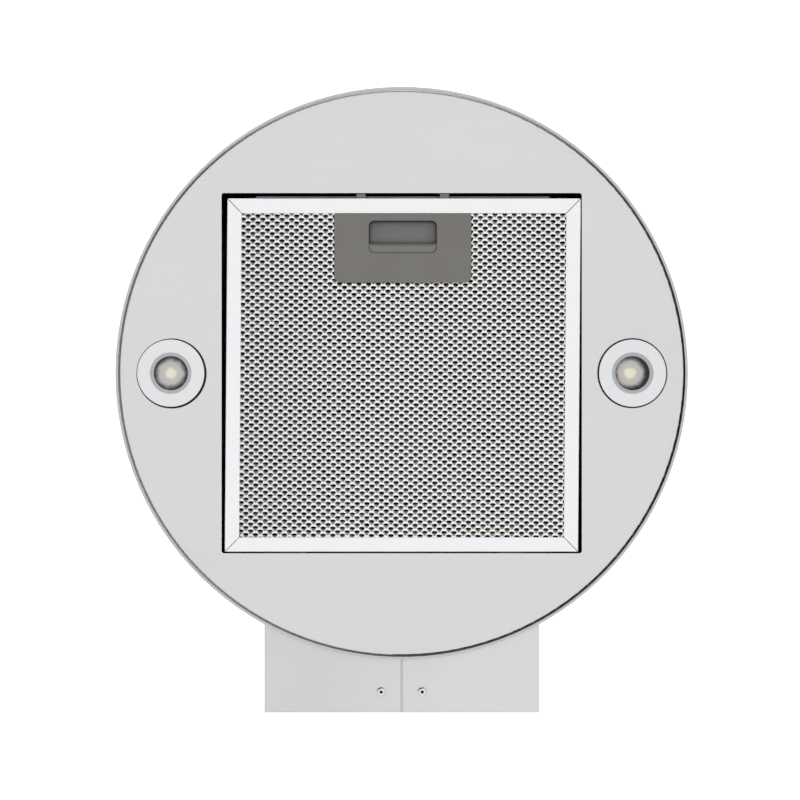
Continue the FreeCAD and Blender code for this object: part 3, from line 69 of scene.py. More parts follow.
# %% The ruler
AXIS_TO_WALL = 220.0
RIM_BELOW_BOLTS = 216.0
MM = 0.001
SHIFT = np.array([0.0, -AXIS_TO_WALL, -RIM_BELOW_BOLTS])


def to_frame(points):
    """Millimetres from the middle of the lower rim, as metres in the frame: a shift and a scale."""
    return (np.asarray(points, float) + SHIFT) * MM


def node_span(node):
    """The lowest and highest corner of a CAD node, in millimetres from the middle of the lower rim."""
    low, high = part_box(node)
    return np.array(low) / MM - SHIFT, np.array(high) / MM - SHIFT


print("panel", [np.round(corner, 2).tolist() for corner in node_span("base_panel")])

# %% [markdown]
# ## Meshes from arrays
# Each new piece is a grid of points, written to the mesh in one go. A grid that runs along a path
# closes on itself in one or both directions; where a row of points meets on an axis, the doubles are
# welded, and then the faces are turned outwards. A mesh could be pulled into shape by hand as well, but
# with arrays every size stays in sight.

# %% Grids, meshes and pieces
SMOOTH_ANGLE = math.radians(32)
WELD_DISTANCE = 1e-7


def grid_faces(rows, columns, wrap_rows):
    """Quads between neighbouring rows of a grid whose columns close on themselves."""
    row = np.arange(rows if wrap_rows else rows - 1)[:, None]
    column = np.arange(columns)[None, :]
    after = (row + 1) % rows
    beside = (column + 1) % columns
    near = [row * columns + column, row * columns + beside]
    far = [after * columns + beside, after * columns + column]
    return np.stack(np.broadcast_arrays(*near, *far), axis=-1).reshape(-1, 4)


def make_mesh(name, points, faces):
    """A mesh from an array of millimetre points and an array of quads, welded and facing outwards."""
    mesh = bpy.data.meshes.new(name)
    mesh.vertices.add(len(points))
    mesh.vertices.foreach_set("co", to_frame(points).ravel())
    mesh.loops.add(faces.size)
    mesh.loops.foreach_set("vertex_index", faces.ravel())
    mesh.polygons.add(len(faces))
    mesh.polygons.foreach_set("loop_start", np.arange(0, faces.size, faces.shape[1]))
    mesh.update(calc_edges=True)
    made = bmesh.new()
    made.from_mesh(mesh)
    bmesh.ops.remove_doubles(made, verts=made.verts, dist=WELD_DISTANCE)
    bmesh.ops.dissolve_degenerate(made, edges=made.edges, dist=WELD_DISTANCE)
    bmesh.ops.recalc_face_normals(made, faces=made.faces)
    made.to_mesh(mesh)
    made.free()
    mesh.polygons.foreach_set("use_smooth", np.ones(len(mesh.polygons), bool))
    mesh.set_sharp_from_angle(angle=SMOOTH_ANGLE)
    return mesh


def make_piece(name, points, faces, material, body, slot, *nodes):
    """A finished piece that rides on a body, takes the given finish and stands for CAD nodes; the slot is not
    used.
    """
    piece = bpy.data.objects.new(name, make_mesh(name, points, faces))
    bpy.context.scene.collection.objects.link(piece)
    piece.data.materials.append(material)
    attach(piece, body)
    if nodes:
        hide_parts(*nodes)
    print(name, len(piece.data.polygons), "faces")
    return piece


print("a tube of 3 rings with 8 points has", len(grid_faces(3, 8, False)), "quads")

# %% [markdown]
# ## Colours and shader nodes
# Colours are written as the hex values that a colour picker shows. One function turns them to the
# linear light that the renderer adds up. One more adds a shader node with its settings and links.

# %% Colours and nodes
NOISE = "ShaderNodeTexNoise"
RAMP = "ShaderNodeValToRGB"
RANGE = "ShaderNodeMapRange"
NUMBERS = "ShaderNodeMath"
VECTORS = "ShaderNodeVectorMath"
SPLIT = "ShaderNodeSeparateXYZ"
PLACE = "ShaderNodeTexCoord"


def colour(code):
    """A hex sRGB colour as linear red, green, blue and a full alpha."""
    values = np.array([int(code[start : start + 2], 16) for start in (1, 3, 5)]) / 255
    linear = np.where(values <= 0.04045, values / 12.92, ((values + 0.055) / 1.055) ** 2.4)
    return (*linear.tolist(), 1.0)


def add_node(tree, kind, inputs=None, stops=(), **settings):
    """A node of a tree: sockets among the inputs are linked, plain values set, and stops fill a ramp.

    A setting is one of the node's own options, or else the value of the input socket of that name.
    """
    made = tree.nodes.new(kind)
    for name, value in settings.items():
        if hasattr(made, name):
            setattr(made, name, value)
        else:
            made.inputs[name.replace("_", " ").title()].default_value = value
    for socket, source in (inputs or {}).items():
        if isinstance(source, bpy.types.NodeSocket):
            tree.links.new(source, made.inputs[socket])
        else:
            made.inputs[socket].default_value = source
    steps = made.color_ramp.elements if stops else []
    while len(steps) < len(stops):
        steps.new(0.5)
    for step, (position, code) in zip(steps, stops):
        step.position = position
        step.color = colour(code)
    return made


print("mid grey in linear light", np.round(colour("#808080"), 3))

# %% [markdown]
# ## Stainless steel, brushed and satin
# The hood's skin is stainless sheet. A grinding belt leaves fine lines about a third of a millimetre
# apart and some centimetres long, which the eye reads as a soft sheen across the lines. The tube's
# lines run up and down it, and the panel's and covers' lines run from side to side. Lines that fine
# would vanish in the picture, so they are drawn somewhat coarser. The lines lie on the object itself,
# with their grain in millimetres. An image of the metal would do too, but a pattern needs no file.

# %% Patterns and brushed sheet
FULL_GLOSS = 0.5
CLOUD_GRAIN = (60, 60, 60)
CLOUD_LIFT = 0.25
BRUSHED_SPAN = (0.3, 0.75)


def new_material(name, base, roughness, metallic=0.0, gloss=FULL_GLOSS):
    """A material with a Principled shader whose constant values sit on the shader's own sockets."""
    material = bpy.data.materials.new(name)
    material.use_nodes = True
    tree = material.node_tree
    shader = tree.nodes["Principled BSDF"]
    shader.inputs["Base Color"].default_value = colour(base)
    shader.inputs["Roughness"].default_value = roughness
    shader.inputs["Metallic"].default_value = metallic
    shader.inputs["Specular IOR Level"].default_value = gloss
    return material, tree, shader


def pattern(tree, kind, grain, **settings):
    """The outputs of a texture whose grain is given in millimetres along each axis of the object."""
    place = add_node(tree, PLACE).outputs["Object"]
    scale = tuple(1 / (size * MM) for size in grain)
    mapped = add_node(tree, "ShaderNodeMapping", {"Vector": place}, scale=scale).outputs["Vector"]
    return add_node(tree, kind, {"Vector": mapped}, scale=1.0, **settings).outputs


def dress(tree, shader, shade, rough, relief):
    """Links a shade to the colour, (pattern, low, high) to the roughness, (pattern, depth) to the height."""
    texture, low, high = rough
    spread = add_node(tree, RANGE, {"Value": texture}, to_min=low, to_max=high)
    texture, depth = relief
    bump = add_node(tree, "ShaderNodeBump", {"Height": texture}, distance=depth * MM)
    tree.links.new(shade, shader.inputs["Base Color"])
    tree.links.new(spread.outputs["Result"], shader.inputs["Roughness"])
    tree.links.new(bump.outputs["Normal"], shader.inputs["Normal"])


def brushed_sheet(name, grain, shades, roughness, depth=0.004):
    """Brushed metal: noise drawn out along the brushing sets the roughness and the height.

    The shade goes by that noise times a broad cloud, plus a lift.
    """
    material, tree, shader = new_material(name, shades[0], roughness[0], 1.0)
    lines = pattern(tree, NOISE, grain, detail=4.0)["Fac"]
    cloud = pattern(tree, NOISE, CLOUD_GRAIN, detail=2.0)["Fac"]
    both = add_node(tree, NUMBERS, {0: lines, 1: cloud, 2: CLOUD_LIFT}, operation="MULTIPLY_ADD").outputs[0]
    shade = add_node(tree, RAMP, {"Fac": both}, list(zip(BRUSHED_SPAN, shades))).outputs["Color"]
    dress(tree, shader, shade, (lines, *roughness), (lines, depth))
    return material


UPRIGHT = (0.5, 0.5, 60)
SIDEWAYS = (60, 0.6, 0.6)
TUBE_SHADES = ("#c0c0c0", "#c6c6c6")
PANEL_SHADES = ("#dadada", "#dedede")
tube_steel = brushed_sheet("stainless_brushed_tube", UPRIGHT, TUBE_SHADES, (0.22, 0.32))
chimney_steel = brushed_sheet("stainless_brushed_chimney", UPRIGHT, TUBE_SHADES, (0.22, 0.32))
panel_steel = brushed_sheet("stainless_satin_panel", SIDEWAYS, PANEL_SHADES, (0.34, 0.42))
cover_left_steel = brushed_sheet("stainless_satin_cover_left", SIDEWAYS, PANEL_SHADES, (0.34, 0.42))
cover_right_steel = brushed_sheet("stainless_satin_cover_right", SIDEWAYS, PANEL_SHADES, (0.34, 0.42))
ring_steel = brushed_sheet("stainless_turned_ring", (3, 3, 3), ("#e3e4e7", "#eaeaec"), (0.3, 0.4), 0.002)
print("steel finishes", tube_steel.name, panel_steel.name, ring_steel.name)

# %% [markdown]
# ## Aluminium
# The filter's frame is rolled from aluminium strip with a bright mill finish, and its mesh is
# expanded: slit and stretched until the slits open. Both are nearly white. Shade falls in the mesh's
# openings and is painted: the colour falls off with depth, which each mesh carries as an attribute.

# %% Mill aluminium and expanded aluminium
ROLLED_CLOUD = (45, 45, 45)
ROLLED_SPECK = (0.9, 0.9, 0.9)
ROLLED_SPAN = (0.42, 0.6)
ROLLED_RELIEF = 0.002
STRETCHED_SPECK = (0.5, 0.5, 0.5)
STRETCHED_ROUGHNESS = (0.28, 0.5)
STRETCHED_RELIEF = 0.01


def mill_aluminium(name, shades, roughness):
    """Rolled aluminium: broad soft clouds and fine specks, slightly blue where it is palest."""
    material, tree, shader = new_material(name, shades[0], roughness[0], 1.0)
    cloud = pattern(tree, NOISE, ROLLED_CLOUD, detail=3.0)["Fac"]
    speck = pattern(tree, NOISE, ROLLED_SPECK, detail=2.0)["Fac"]
    shade = add_node(tree, RAMP, {"Fac": cloud}, list(zip(ROLLED_SPAN, shades))).outputs["Color"]
    dress(tree, shader, shade, (speck, *roughness), (speck, ROLLED_RELIEF))
    return material


def expanded_aluminium(name, stops):
    """Stretched strands: a ramp of (depth, colour) stops, bright on the crests and darker further in, as
    painted shade.
    """
    material, tree, shader = new_material(name, stops[0][1], STRETCHED_ROUGHNESS[0], 1.0)
    depth = add_node(tree, "ShaderNodeAttribute", attribute_name="depth").outputs["Fac"]
    speck = pattern(tree, NOISE, STRETCHED_SPECK, detail=2.0)["Fac"]
    shade = add_node(tree, RAMP, {"Fac": depth}, stops).outputs["Color"]
    dress(tree, shader, shade, (speck, *STRETCHED_ROUGHNESS), (speck, STRETCHED_RELIEF))
    return material


frame_aluminium = mill_aluminium("aluminium_mill_rolled", ("#f4f4f4", "#f3f4f7"), (0.26, 0.36))
# Painted shade: the lip lies in shade in the gap, so its finish is a dark dull grey.
lip_painted_shade = mill_aluminium("aluminium_mill_painted_shade", ("#7b7b7c", "#858586"), (0.45, 0.55))
# Crests keep the metal's near white; the darker stops further in are painted shade.
strand_painted_shade_stops = [
    (0.0, "#fefefe"),
    (0.08, "#fcfcfc"),
    (0.17, "#d0d0cf"),
    (0.22, "#a2a19f"),
    (0.6, "#83827f"),
    (0.76, "#555452"),
    (0.83, "#0d0d0d"),
]
mesh_aluminium = expanded_aluminium("aluminium_expanded_painted_shade", strand_painted_shade_stops)
# The inner layer is painted nearly black, as shade.
core_painted_shade_stops = [(0.3, "#3c3c3b"), (0.55, "#151514"), (0.9, "#050505")]
core_painted_shade_aluminium = expanded_aluminium("aluminium_expanded_inner_painted_shade", core_painted_shade_stops)
sink_aluminium = mill_aluminium("aluminium_die_cast", ("#b4b4b4", "#bdbdbd"), (0.5, 0.62))
print("aluminium finishes", frame_aluminium.name, mesh_aluminium.name)

# %% [markdown]
# ## Plastics, rubber and plated steel
# Moulded ABS has a fine spark-eroded grain, about half a millimetre from pit to pit, that breaks up
# its gloss. Galvanised sheet shows spangles of some millimetres. Zinc and ground steel are plain and
# slightly rough.

# %% Moulded, plated and painted finishes
MOULD_CLOUD = (22, 22, 22)
MOULD_SPAN = (0.35, 0.65)
SPANGLE_SPAN = (0.1, 0.9)
SPANGLE_RELIEF = 0.01


def moulded(name, shades, grain_size, roughness, depth=0.02):
    """Moulded plastic: eroded grain in the height and roughness, and a faint drift of the colour."""
    material, tree, shader = new_material(name, shades[0], roughness[0], gloss=0.4)
    grain = pattern(tree, NOISE, (grain_size,) * 3, detail=3.0)["Fac"]
    cloud = pattern(tree, NOISE, MOULD_CLOUD, detail=2.0)["Fac"]
    shade = add_node(tree, RAMP, {"Fac": cloud}, list(zip(MOULD_SPAN, shades))).outputs["Color"]
    dress(tree, shader, shade, (grain, *roughness), (grain, depth))
    return material


def galvanised(name, shades, spangle, roughness):
    """Zinc on steel: flat crystal spangles of a size, each with its own shade and roughness."""
    material, tree, shader = new_material(name, shades[0], roughness[0], 1.0)
    flake = pattern(tree, "ShaderNodeTexVoronoi", (spangle,) * 3)["Color"]
    split = add_node(tree, "ShaderNodeSeparateColor", {"Color": flake}).outputs
    shade = add_node(tree, RAMP, {"Fac": split["Red"]}, list(zip(SPANGLE_SPAN, shades))).outputs["Color"]
    dress(tree, shader, shade, (split["Green"], *roughness), (split["Red"], SPANGLE_RELIEF))
    return material


handle_abs = moulded("abs_moulded_grey", ("#726f6c", "#757370"), 0.5, (0.5, 0.62))
latch_abs = moulded("abs_moulded_latch", ("#787674", "#7b7977"), 0.5, (0.5, 0.62))
black_abs_and_painted_shade = moulded("abs_moulded_black_and_painted_shade", ("#1f1f20", "#262627"), 0.6, (0.45, 0.6))
wheel_abs = moulded("polypropylene_moulded_dark", ("#3c3c3e", "#444446"), 0.6, (0.4, 0.55))
capacitor_abs = moulded("polypropylene_moulded_white", ("#dedcd4", "#e6e4dc"), 0.6, (0.35, 0.5))
board_laminate = moulded("glass_laminate_green", ("#1f5a35", "#27683f"), 1.2, (0.35, 0.5), 0.01)
grommet_rubber = moulded("rubber_moulded_black", ("#171717", "#1c1c1c"), 0.4, (0.7, 0.85))
reflector_plastic = moulded("polycarbonate_metallised", ("#cfcfcf", "#d8d8d8"), 0.8, (0.15, 0.25), 0.002)
motor_paint = moulded("enamel_sprayed_black", ("#2b2b2d", "#333335"), 0.9, (0.35, 0.5), 0.01)
galvanised_sheet = galvanised("steel_galvanised_spangled", ("#7f8486", "#93989a"), 5.0, (0.4, 0.55))
zinc_steel = galvanised("steel_zinc_plated", ("#b9b8b2", "#c6c5bf"), 1.5, (0.28, 0.4))
shaft_steel = brushed_sheet("steel_ground_shaft", (0.4, 8, 8), ("#b5b5b5", "#c2c2c2"), (0.22, 0.3))
spring_steel = brushed_sheet("steel_spring_strip", (0.4, 6, 0.4), ("#9a9a98", "#a8a8a6"), (0.25, 0.35))
screw_steel = brushed_sheet("stainless_turned_screw", (1.5, 1.5, 1.5), ("#dadada", "#eeeeee"), (0.16, 0.24))
print("plastics and plated steels made")

# %% [markdown]
# ## Every CAD piece gets its finish
# Each node of the model has a slot in the record, and each slot gets one of the finishes above.

# %% Finishes by slot
FINISHES = {
    "stainless_tube": tube_steel,
    "stainless_panel": panel_steel,
    "stainless_screw": screw_steel,
    "steel_button": ring_steel,
    "filter_aluminium": frame_aluminium,
    "handle_plastic": handle_abs,
    "spring_steel": spring_steel,
    "lamp_metal": ring_steel,
    "lamp_lens": reflector_plastic,
    "lamp_reflector": reflector_plastic,
    "lamp_board": capacitor_abs,
    "sink_aluminium": sink_aluminium,
    "galvanised_steel": galvanised_sheet,
    "zinc_fastener": zinc_steel,
    "motor_paint": motor_paint,
    "shaft_steel": shaft_steel,
    "wheel_plastic": wheel_abs,
    "black_plastic": black_abs_and_painted_shade,
    "capacitor_plastic": capacitor_abs,
    "board_laminate": board_laminate,
    "grommet_rubber": grommet_rubber,
}
NODE_FINISHES = {
    "chimney_tube": chimney_steel,
    "rear_cover_left": cover_left_steel,
    "rear_cover_right": cover_right_steel,
    "latch_slider": latch_abs,
    # The lugs are aluminium; the black finish on them is painted shade.
    "filter_lugs": black_abs_and_painted_shade,
}
for subpart in frame["record"]["subparts"]:
    node = frame["nodes"][subpart["node"]]
    node.data.materials.clear()
    node.data.materials.append(NODE_FINISHES.get(subpart["node"], FINISHES[subpart["material_slot"]]))
print("finished nodes", len(frame["nodes"]))

# %% [markdown]
# ## A drift of tone
# The covers reflect a warmer, duller part of the room towards the left; that reflection is painted as a
# slow drift of the colour across them. The filter's mesh is a little darker on the same side. A tint
# that fades out across the hood is multiplied into the finish, so the patterns in it stay as they are.

# %% Drift of tone
COVER_PAINTED_REFLECTION = (-55, 30, "#f8f6f4")
MESH_LEFT_TINT = (-105, -20, "#f5f5f5")


def place_from(tree, middle):
    """Where a point of the object lies from a middle in millimetres, in metres along x, y and z."""
    apart = {0: add_node(tree, PLACE).outputs["Object"], 1: to_frame(middle)}
    return add_node(tree, VECTORS, apart, operation="SUBTRACT").outputs["Vector"]


def tinted(material, factor):
    """Multiplies a finish's colour by a factor from the same node tree."""
    tree = material.node_tree
    base = tree.nodes["Principled BSDF"].inputs["Base Color"]
    both = {0: base.links[0].from_socket, 1: factor}
    made = add_node(tree, VECTORS, both, operation="MULTIPLY")
    tree.links.new(made.outputs["Vector"], base)


def drift(material, start, end, tint):
    """Tints a finish on the left and lets the tint fade out between two places across the hood."""
    tree = material.node_tree
    across = add_node(tree, SPLIT, {"Vector": place_from(tree, (0, 0, 0))}).outputs["X"]
    share = add_node(tree, RANGE, {"Value": across}, from_min=start * MM, from_max=end * MM).outputs["Result"]
    tinted(material, add_node(tree, RAMP, {"Fac": share}, [(0.0, tint), (1.0, "#ffffff")]).outputs["Color"])


# Painted reflection: the covers are warmer and duller towards the left.
drift(cover_left_steel, *COVER_PAINTED_REFLECTION)
drift(cover_right_steel, *COVER_PAINTED_REFLECTION)
drift(mesh_aluminium, *MESH_LEFT_TINT)
print("finishes with a drift", cover_left_steel.name, cover_right_steel.name, mesh_aluminium.name)

# %% [markdown]
# ## Painted shade on bent edges
# Sheet that is bent round a box turns away from the light along its edges; that shade is painted as fine
# darker lines. A point on a box's skin lies on an edge when the second smallest of its distances to the
# box's faces is zero.

# %% Painted shade on bent edges
BEND_REACH = 0.6
BEND_SHADE_LEAST = 0.6


def skin_distances(tree, low, high):
    """The distances from a point to the nearer face of a box along x, y and z, in metres."""
    away = place_from(tree, (low + high) / 2)
    size = add_node(tree, VECTORS, {0: away}, operation="ABSOLUTE").outputs["Vector"]
    inset = {0: (high - low) / 2 * MM, 1: size}
    left_over = add_node(tree, VECTORS, inset, operation="SUBTRACT").outputs["Vector"]
    return add_node(tree, SPLIT, {"Vector": left_over}).outputs


def painted_bend_shade(material, node):
    """Painted shade: darkens a cover to the least share on the edges of its box, fading out over the bend's
    reach.
    """
    tree = material.node_tree
    across, back, up = skin_distances(tree, *node_span(node))
    lesser = add_node(tree, NUMBERS, {0: across, 1: back}, operation="MINIMUM").outputs[0]
    greater = add_node(tree, NUMBERS, {0: across, 1: back}, operation="MAXIMUM").outputs[0]
    rest = add_node(tree, NUMBERS, {0: greater, 1: up}, operation="MINIMUM").outputs[0]
    second = add_node(tree, NUMBERS, {0: lesser, 1: rest}, operation="MAXIMUM").outputs[0]
    share = add_node(tree, RANGE, {"Value": second}, from_max=BEND_REACH * MM, to_min=BEND_SHADE_LEAST)
    tinted(material, share.outputs["Result"])


# Painted shade along the covers' bent edges.
painted_bend_shade(cover_left_steel, "rear_cover_left")
painted_bend_shade(cover_right_steel, "rear_cover_right")
print("bent edges", BEND_REACH, "mm wide on both covers")

# %% [markdown]
# ## Painted shade inside the tubes
# The sheet is brushed on its outer face only. Inside, the tubes are painted nearly black and matt, as
# shade, so hardly any light finds its way down past the lid. A point lies inside when its distance from the
# tube's axis falls short of the outer radius. The folded rim at the foot of the tube stays bright.

# %% Tube insides
SKIN_DEPTH = 0.15
RIM_HEIGHT = 10.2
INSIDE_SHADE_SHARE = 0.05


def dark_inside_painted_shade(material, node):
    """Bare metal on the outer face and the rim; inside, painted shade: a matt share of its colour."""
    tree = material.node_tree
    low, high = node_span(node)
    away = place_from(tree, (0, 0, RIM_HEIGHT))
    flat = add_node(tree, VECTORS, {0: away, 1: (1, 1, 0)}, operation="MULTIPLY").outputs["Vector"]
    radius = add_node(tree, VECTORS, {0: flat}, operation="LENGTH").outputs["Value"]
    skin = ((high[0] - low[0]) / 2 - SKIN_DEPTH) * MM
    outside = add_node(tree, NUMBERS, {0: radius, 1: skin}, operation="GREATER_THAN").outputs[0]
    up = add_node(tree, SPLIT, {"Vector": away}).outputs["Z"]
    below = add_node(tree, NUMBERS, {0: up, 1: 0.0}, operation="LESS_THAN").outputs[0]
    bright = add_node(tree, NUMBERS, {0: outside, 1: below}, operation="MAXIMUM").outputs[0]
    share = add_node(tree, RANGE, {"Value": bright}, to_min=INSIDE_SHADE_SHARE)
    tinted(material, share.outputs["Result"])
    gloss = add_node(tree, RANGE, {"Value": bright}, to_max=FULL_GLOSS)
    shader = tree.nodes["Principled BSDF"]
    tree.links.new(bright, shader.inputs["Metallic"])
    tree.links.new(gloss.outputs["Result"], shader.inputs["Specular IOR Level"])


# Painted shade: the insides of both tubes are made nearly black and matt.
dark_inside_painted_shade(tube_steel, "body_tube")
dark_inside_painted_shade(chimney_steel, "chimney_tube")
print("tube finishes", tube_steel.name, chimney_steel.name)

# %% [markdown]
# ## Rounded outlines
# Folded and turned metal has no sharp corners. A corner is rounded by an arc that touches both of its
# sides, so the arc's middle lies on the line that halves the corner. An outline is then carried along
# a path, as a row of loops that are joined each to the next.

# %% Outlines and lofts
def round_corner(before, corner, after, radius, steps):
    """The arc that rounds a corner: its middle plus a mix, by sines, of the radii to its two ends."""
    into = (before - corner) / np.linalg.norm(before - corner)
    out = (after - corner) / np.linalg.norm(after - corner)
    half = math.acos(np.clip(into @ out, -1, 1)) / 2
    middle = corner + (into + out) / np.linalg.norm(into + out) * radius / math.sin(half)
    start = corner + into * radius / math.tan(half) - middle
    end = corner + out * radius / math.tan(half) - middle
    turn = math.pi - 2 * half
    share = np.linspace(0, 1, steps + 1)[:, None]
    return middle + (np.sin((1 - share) * turn) * start + np.sin(share * turn) * end) / math.sin(turn)


def rounded_outline(corners, radii, steps=5):
    """A closed outline in which every corner with a radius above zero is an arc."""
    corners = np.asarray(corners, float)
    arcs = []
    for index, radius in enumerate(radii):
        corner = corners[index]
        near = (corners[index - 1], corner, corners[(index + 1) % len(corners)])
        arcs.append(round_corner(*near, radius, steps) if radius else corner[None])
    return np.concatenate(arcs)


def loft(loops, wrap):
    """Loops of equally many points, joined each to the next."""
    rows = np.asarray(loops)
    return rows.reshape(-1, 3), grid_faces(rows.shape[0], rows.shape[1], wrap)


square = [(0, 0), (4, 0), (4, 4), (0, 4)]
print("a square with four arcs has", len(rounded_outline(square, (1, 1, 1, 1))), "points")

# %% [markdown]
# ## The filter's frame
# Four strips of aluminium are rolled to a channel with soft edges, mitred and pushed together round
# the mesh. The channel's section is a closed outline with rounded corners. It is carried along each
# side, and it ends on the mitre because the run gets shorter by as much as a point lies further in. A
# Bevel modifier could round the edges as well, but it would round the mitres too.

# %% Channel section
RAIL_WIDTH = 9.6
RAIL_SHEET = 1.0
RAIL_EDGE = 1.1
LIP_EDGE = 0.45
RAIL_BEND = 0.2
rail_low, rail_high = (corner[2] for corner in node_span("filter_rail_rear"))

channel = rounded_outline(
    [
        (0, rail_low),
        (RAIL_WIDTH, rail_low),
        (RAIL_WIDTH, rail_low + RAIL_SHEET),
        (RAIL_SHEET, rail_low + RAIL_SHEET),
        (RAIL_SHEET, rail_high - RAIL_SHEET),
        (RAIL_WIDTH, rail_high - RAIL_SHEET),
        (RAIL_WIDTH, rail_high),
        (0, rail_high),
    ],
    (RAIL_EDGE, LIP_EDGE, LIP_EDGE, RAIL_BEND, RAIL_BEND, LIP_EDGE, LIP_EDGE, RAIL_EDGE),
)
print("channel section", len(channel), "points")

# %% [markdown]
# The mitres are only pushed together, so the frame is racked: its sides lean by less than half a degree.
# The front channel is folded a little wider than the others, so that it reaches the handle.

# %% Rails
FILTER_HALF = 114.6
FILTER_MIDDLE = np.array([0.7, 0.9])
FRAME_MIDDLE = np.array([0.7, 1.2])
FRONT_EXTRA = 0.4
MITRE_GAP = 0.3
FRAME_LEAN = math.radians(0.44)
SIDES = {"rear": 0.0, "left": math.pi / 2, "front": math.pi, "right": -math.pi / 2}


def rail_run(turn):
    """Point (end, k): the section's point k, run out to both mitres, turned to its side and leaned.

    Points of the front channel move back by up to the extra width, in proportion to their way in.
    """
    inward, height = channel.T
    reach = FILTER_HALF - inward - MITRE_GAP
    along = np.stack([-reach, reach])
    away = np.broadcast_to(FILTER_HALF - inward, along.shape)
    across = along * math.cos(turn) - away * math.sin(turn)
    back = along * math.sin(turn) + away * math.cos(turn)
    leaned = across - back * math.tan(FRAME_LEAN)
    widened = back + FRONT_EXTRA * np.clip((back + FILTER_HALF) / RAIL_WIDTH, 0, 1) * (back < 0)
    level = np.stack([leaned, widened], axis=-1) + FRAME_MIDDLE
    heights = np.broadcast_to(height, along.shape)
    return loft(np.concatenate([level, heights[..., None]], axis=-1), False)


def close_ends(piece):
    """Fills the open ends of a run, so that it is a closed strip of metal."""
    made = bmesh.new()
    made.from_mesh(piece.data)
    bmesh.ops.holes_fill(made, edges=[edge for edge in made.edges if edge.is_boundary], sides=0)
    bmesh.ops.recalc_face_normals(made, faces=made.faces)
    made.to_mesh(piece.data)
    made.free()
    piece.data.set_sharp_from_angle(angle=SMOOTH_ANGLE)


rails = {}
for side, turn in SIDES.items():
    node = f"filter_rail_{side}"
    rails[side] = make_piece(
        f"filter_channel_{side}", *rail_run(turn), frame_aluminium, "filter", "filter_aluminium", node
    )
    close_ends(rails[side])

# %% [markdown]
# The latch's tongues leave the frame through two slots in the front channel. The slots are cut with
# two blocks and Blender's boolean, which is then made part of the mesh.

# %% Tongue slots in the front rail
TONGUE_SPACING = 54.0
TONGUE_SLOT = (6.4, 4.0, 2.0)
TONGUE_HEIGHT = 4.35


def block(middle, size):
    """A closed block: four corners low and the same four high, with a floor and a lid."""
    low = np.asarray(middle, float) - np.asarray(size, float) / 2
    high = low + size
    level = [(low[0], low[1]), (high[0], low[1]), (high[0], high[1]), (low[0], high[1])]
    corners = np.array([(x, y, z) for z in (low[2], high[2]) for x, y in level])
    faces = np.array([(0, 3, 2, 1), (4, 5, 6, 7), (0, 1, 5, 4), (1, 2, 6, 5), (2, 3, 7, 6), (3, 0, 4, 7)])
    return corners, faces


def joined_parts(parts):
    """Several (points, faces) parts as one, each part's faces counted on from the last part's points."""
    starts = np.cumsum([0] + [len(points) for points, _ in parts[:-1]])
    points = np.concatenate([points for points, _ in parts])
    faces = np.concatenate([faces + start for (_, faces), start in zip(parts, starts)])
    return points, faces


def cut_away(piece, cutters):
    """The piece less the cutters, kept as the piece's own mesh."""
    tool = bpy.data.objects.new("cutter", make_mesh("cutter", *joined_parts(cutters)))
    bpy.context.scene.collection.objects.link(tool)
    change = piece.modifiers.new("slots", "BOOLEAN")
    change.object = tool
    change.solver = "EXACT"
    bpy.context.view_layer.update()
    evaluated = piece.evaluated_get(bpy.context.evaluated_depsgraph_get())
    mesh = bpy.data.meshes.new_from_object(evaluated)
    piece.modifiers.clear()
    piece.data = mesh
    bpy.data.objects.remove(tool)


front_face = FRAME_MIDDLE[1] - FILTER_HALF
slots = [
    block((FILTER_MIDDLE[0] + offset, front_face, TONGUE_HEIGHT), TONGUE_SLOT)
    for offset in (-TONGUE_SPACING / 2, TONGUE_SPACING / 2)
]
cut_away(rails["front"], slots)
print("front rail", len(rails["front"].data.polygons), "faces after the slots")

# %% [markdown]
# A narrow lip is folded out of the front channel above the tongues. It lies in shade in the gap, and that
# shade is painted into its dark grey finish.

# %% Front lip
LIP_LENGTH = 190.0
LIP_REACH = 1.2
LIP_HEIGHT = 6.9
lip = block((FILTER_MIDDLE[0], front_face - LIP_REACH / 2, LIP_HEIGHT), (LIP_LENGTH, LIP_REACH, RAIL_SHEET))
make_piece("filter_front_lip", *lip, lip_painted_shade, "filter", "filter_aluminium", "filter_rail_front")

# %% [markdown]
# ## The expanded mesh
# A sheet that is slit in staggered rows and stretched opens into diamonds. Each opening's near strand
# lies towards the cook and its far strand is tipped away, so from below an opening shows a dark eye
# in front and a grey slope behind it. One opening is a diamond tile of rings: the tile's edge on the
# crest of the strands, the rim of the opening, the throat further up, and the tile's edge again on
# the back. Openings that are cut out of a flat sheet would leave flat strands, without that slope.

# %% Rings of one tile
MESH_PITCH = np.array([6.264, 4.588])
FACE_POINTS = 16
FACE_RIM = (1.82, 0.57, 2.75)
FACE_THROAT = (1.6, 0.48, 0.72)
EYE_SHIFT = -0.9


def tile_edge(pitch, count):
    """Point k of a diamond: the straight line between two tips, a quarter of the points on each side."""
    share = np.arange(count) / count * 4
    tips = np.array([(1, 0), (0, -1), (-1, 0), (0, 1), (1, 0)]) * pitch / 2
    start = share.astype(int)
    return tips[start] + (tips[start + 1] - tips[start]) * (share - start)[:, None]


def opening_ring(count, half_width, front, back, shift):
    """A drop: across it half_width cos a, in front a bulge of 1 - cos^3 and behind a tip of 1 - cos^2."""
    angle = np.arange(count) / count * 2 * math.pi
    wide = np.abs(np.cos(angle))
    depth = np.where(np.sin(angle) >= 0, -front * (1 - wide**3), back * (1 - wide**2))
    return np.stack([half_width * np.cos(angle), shift + depth], axis=-1)


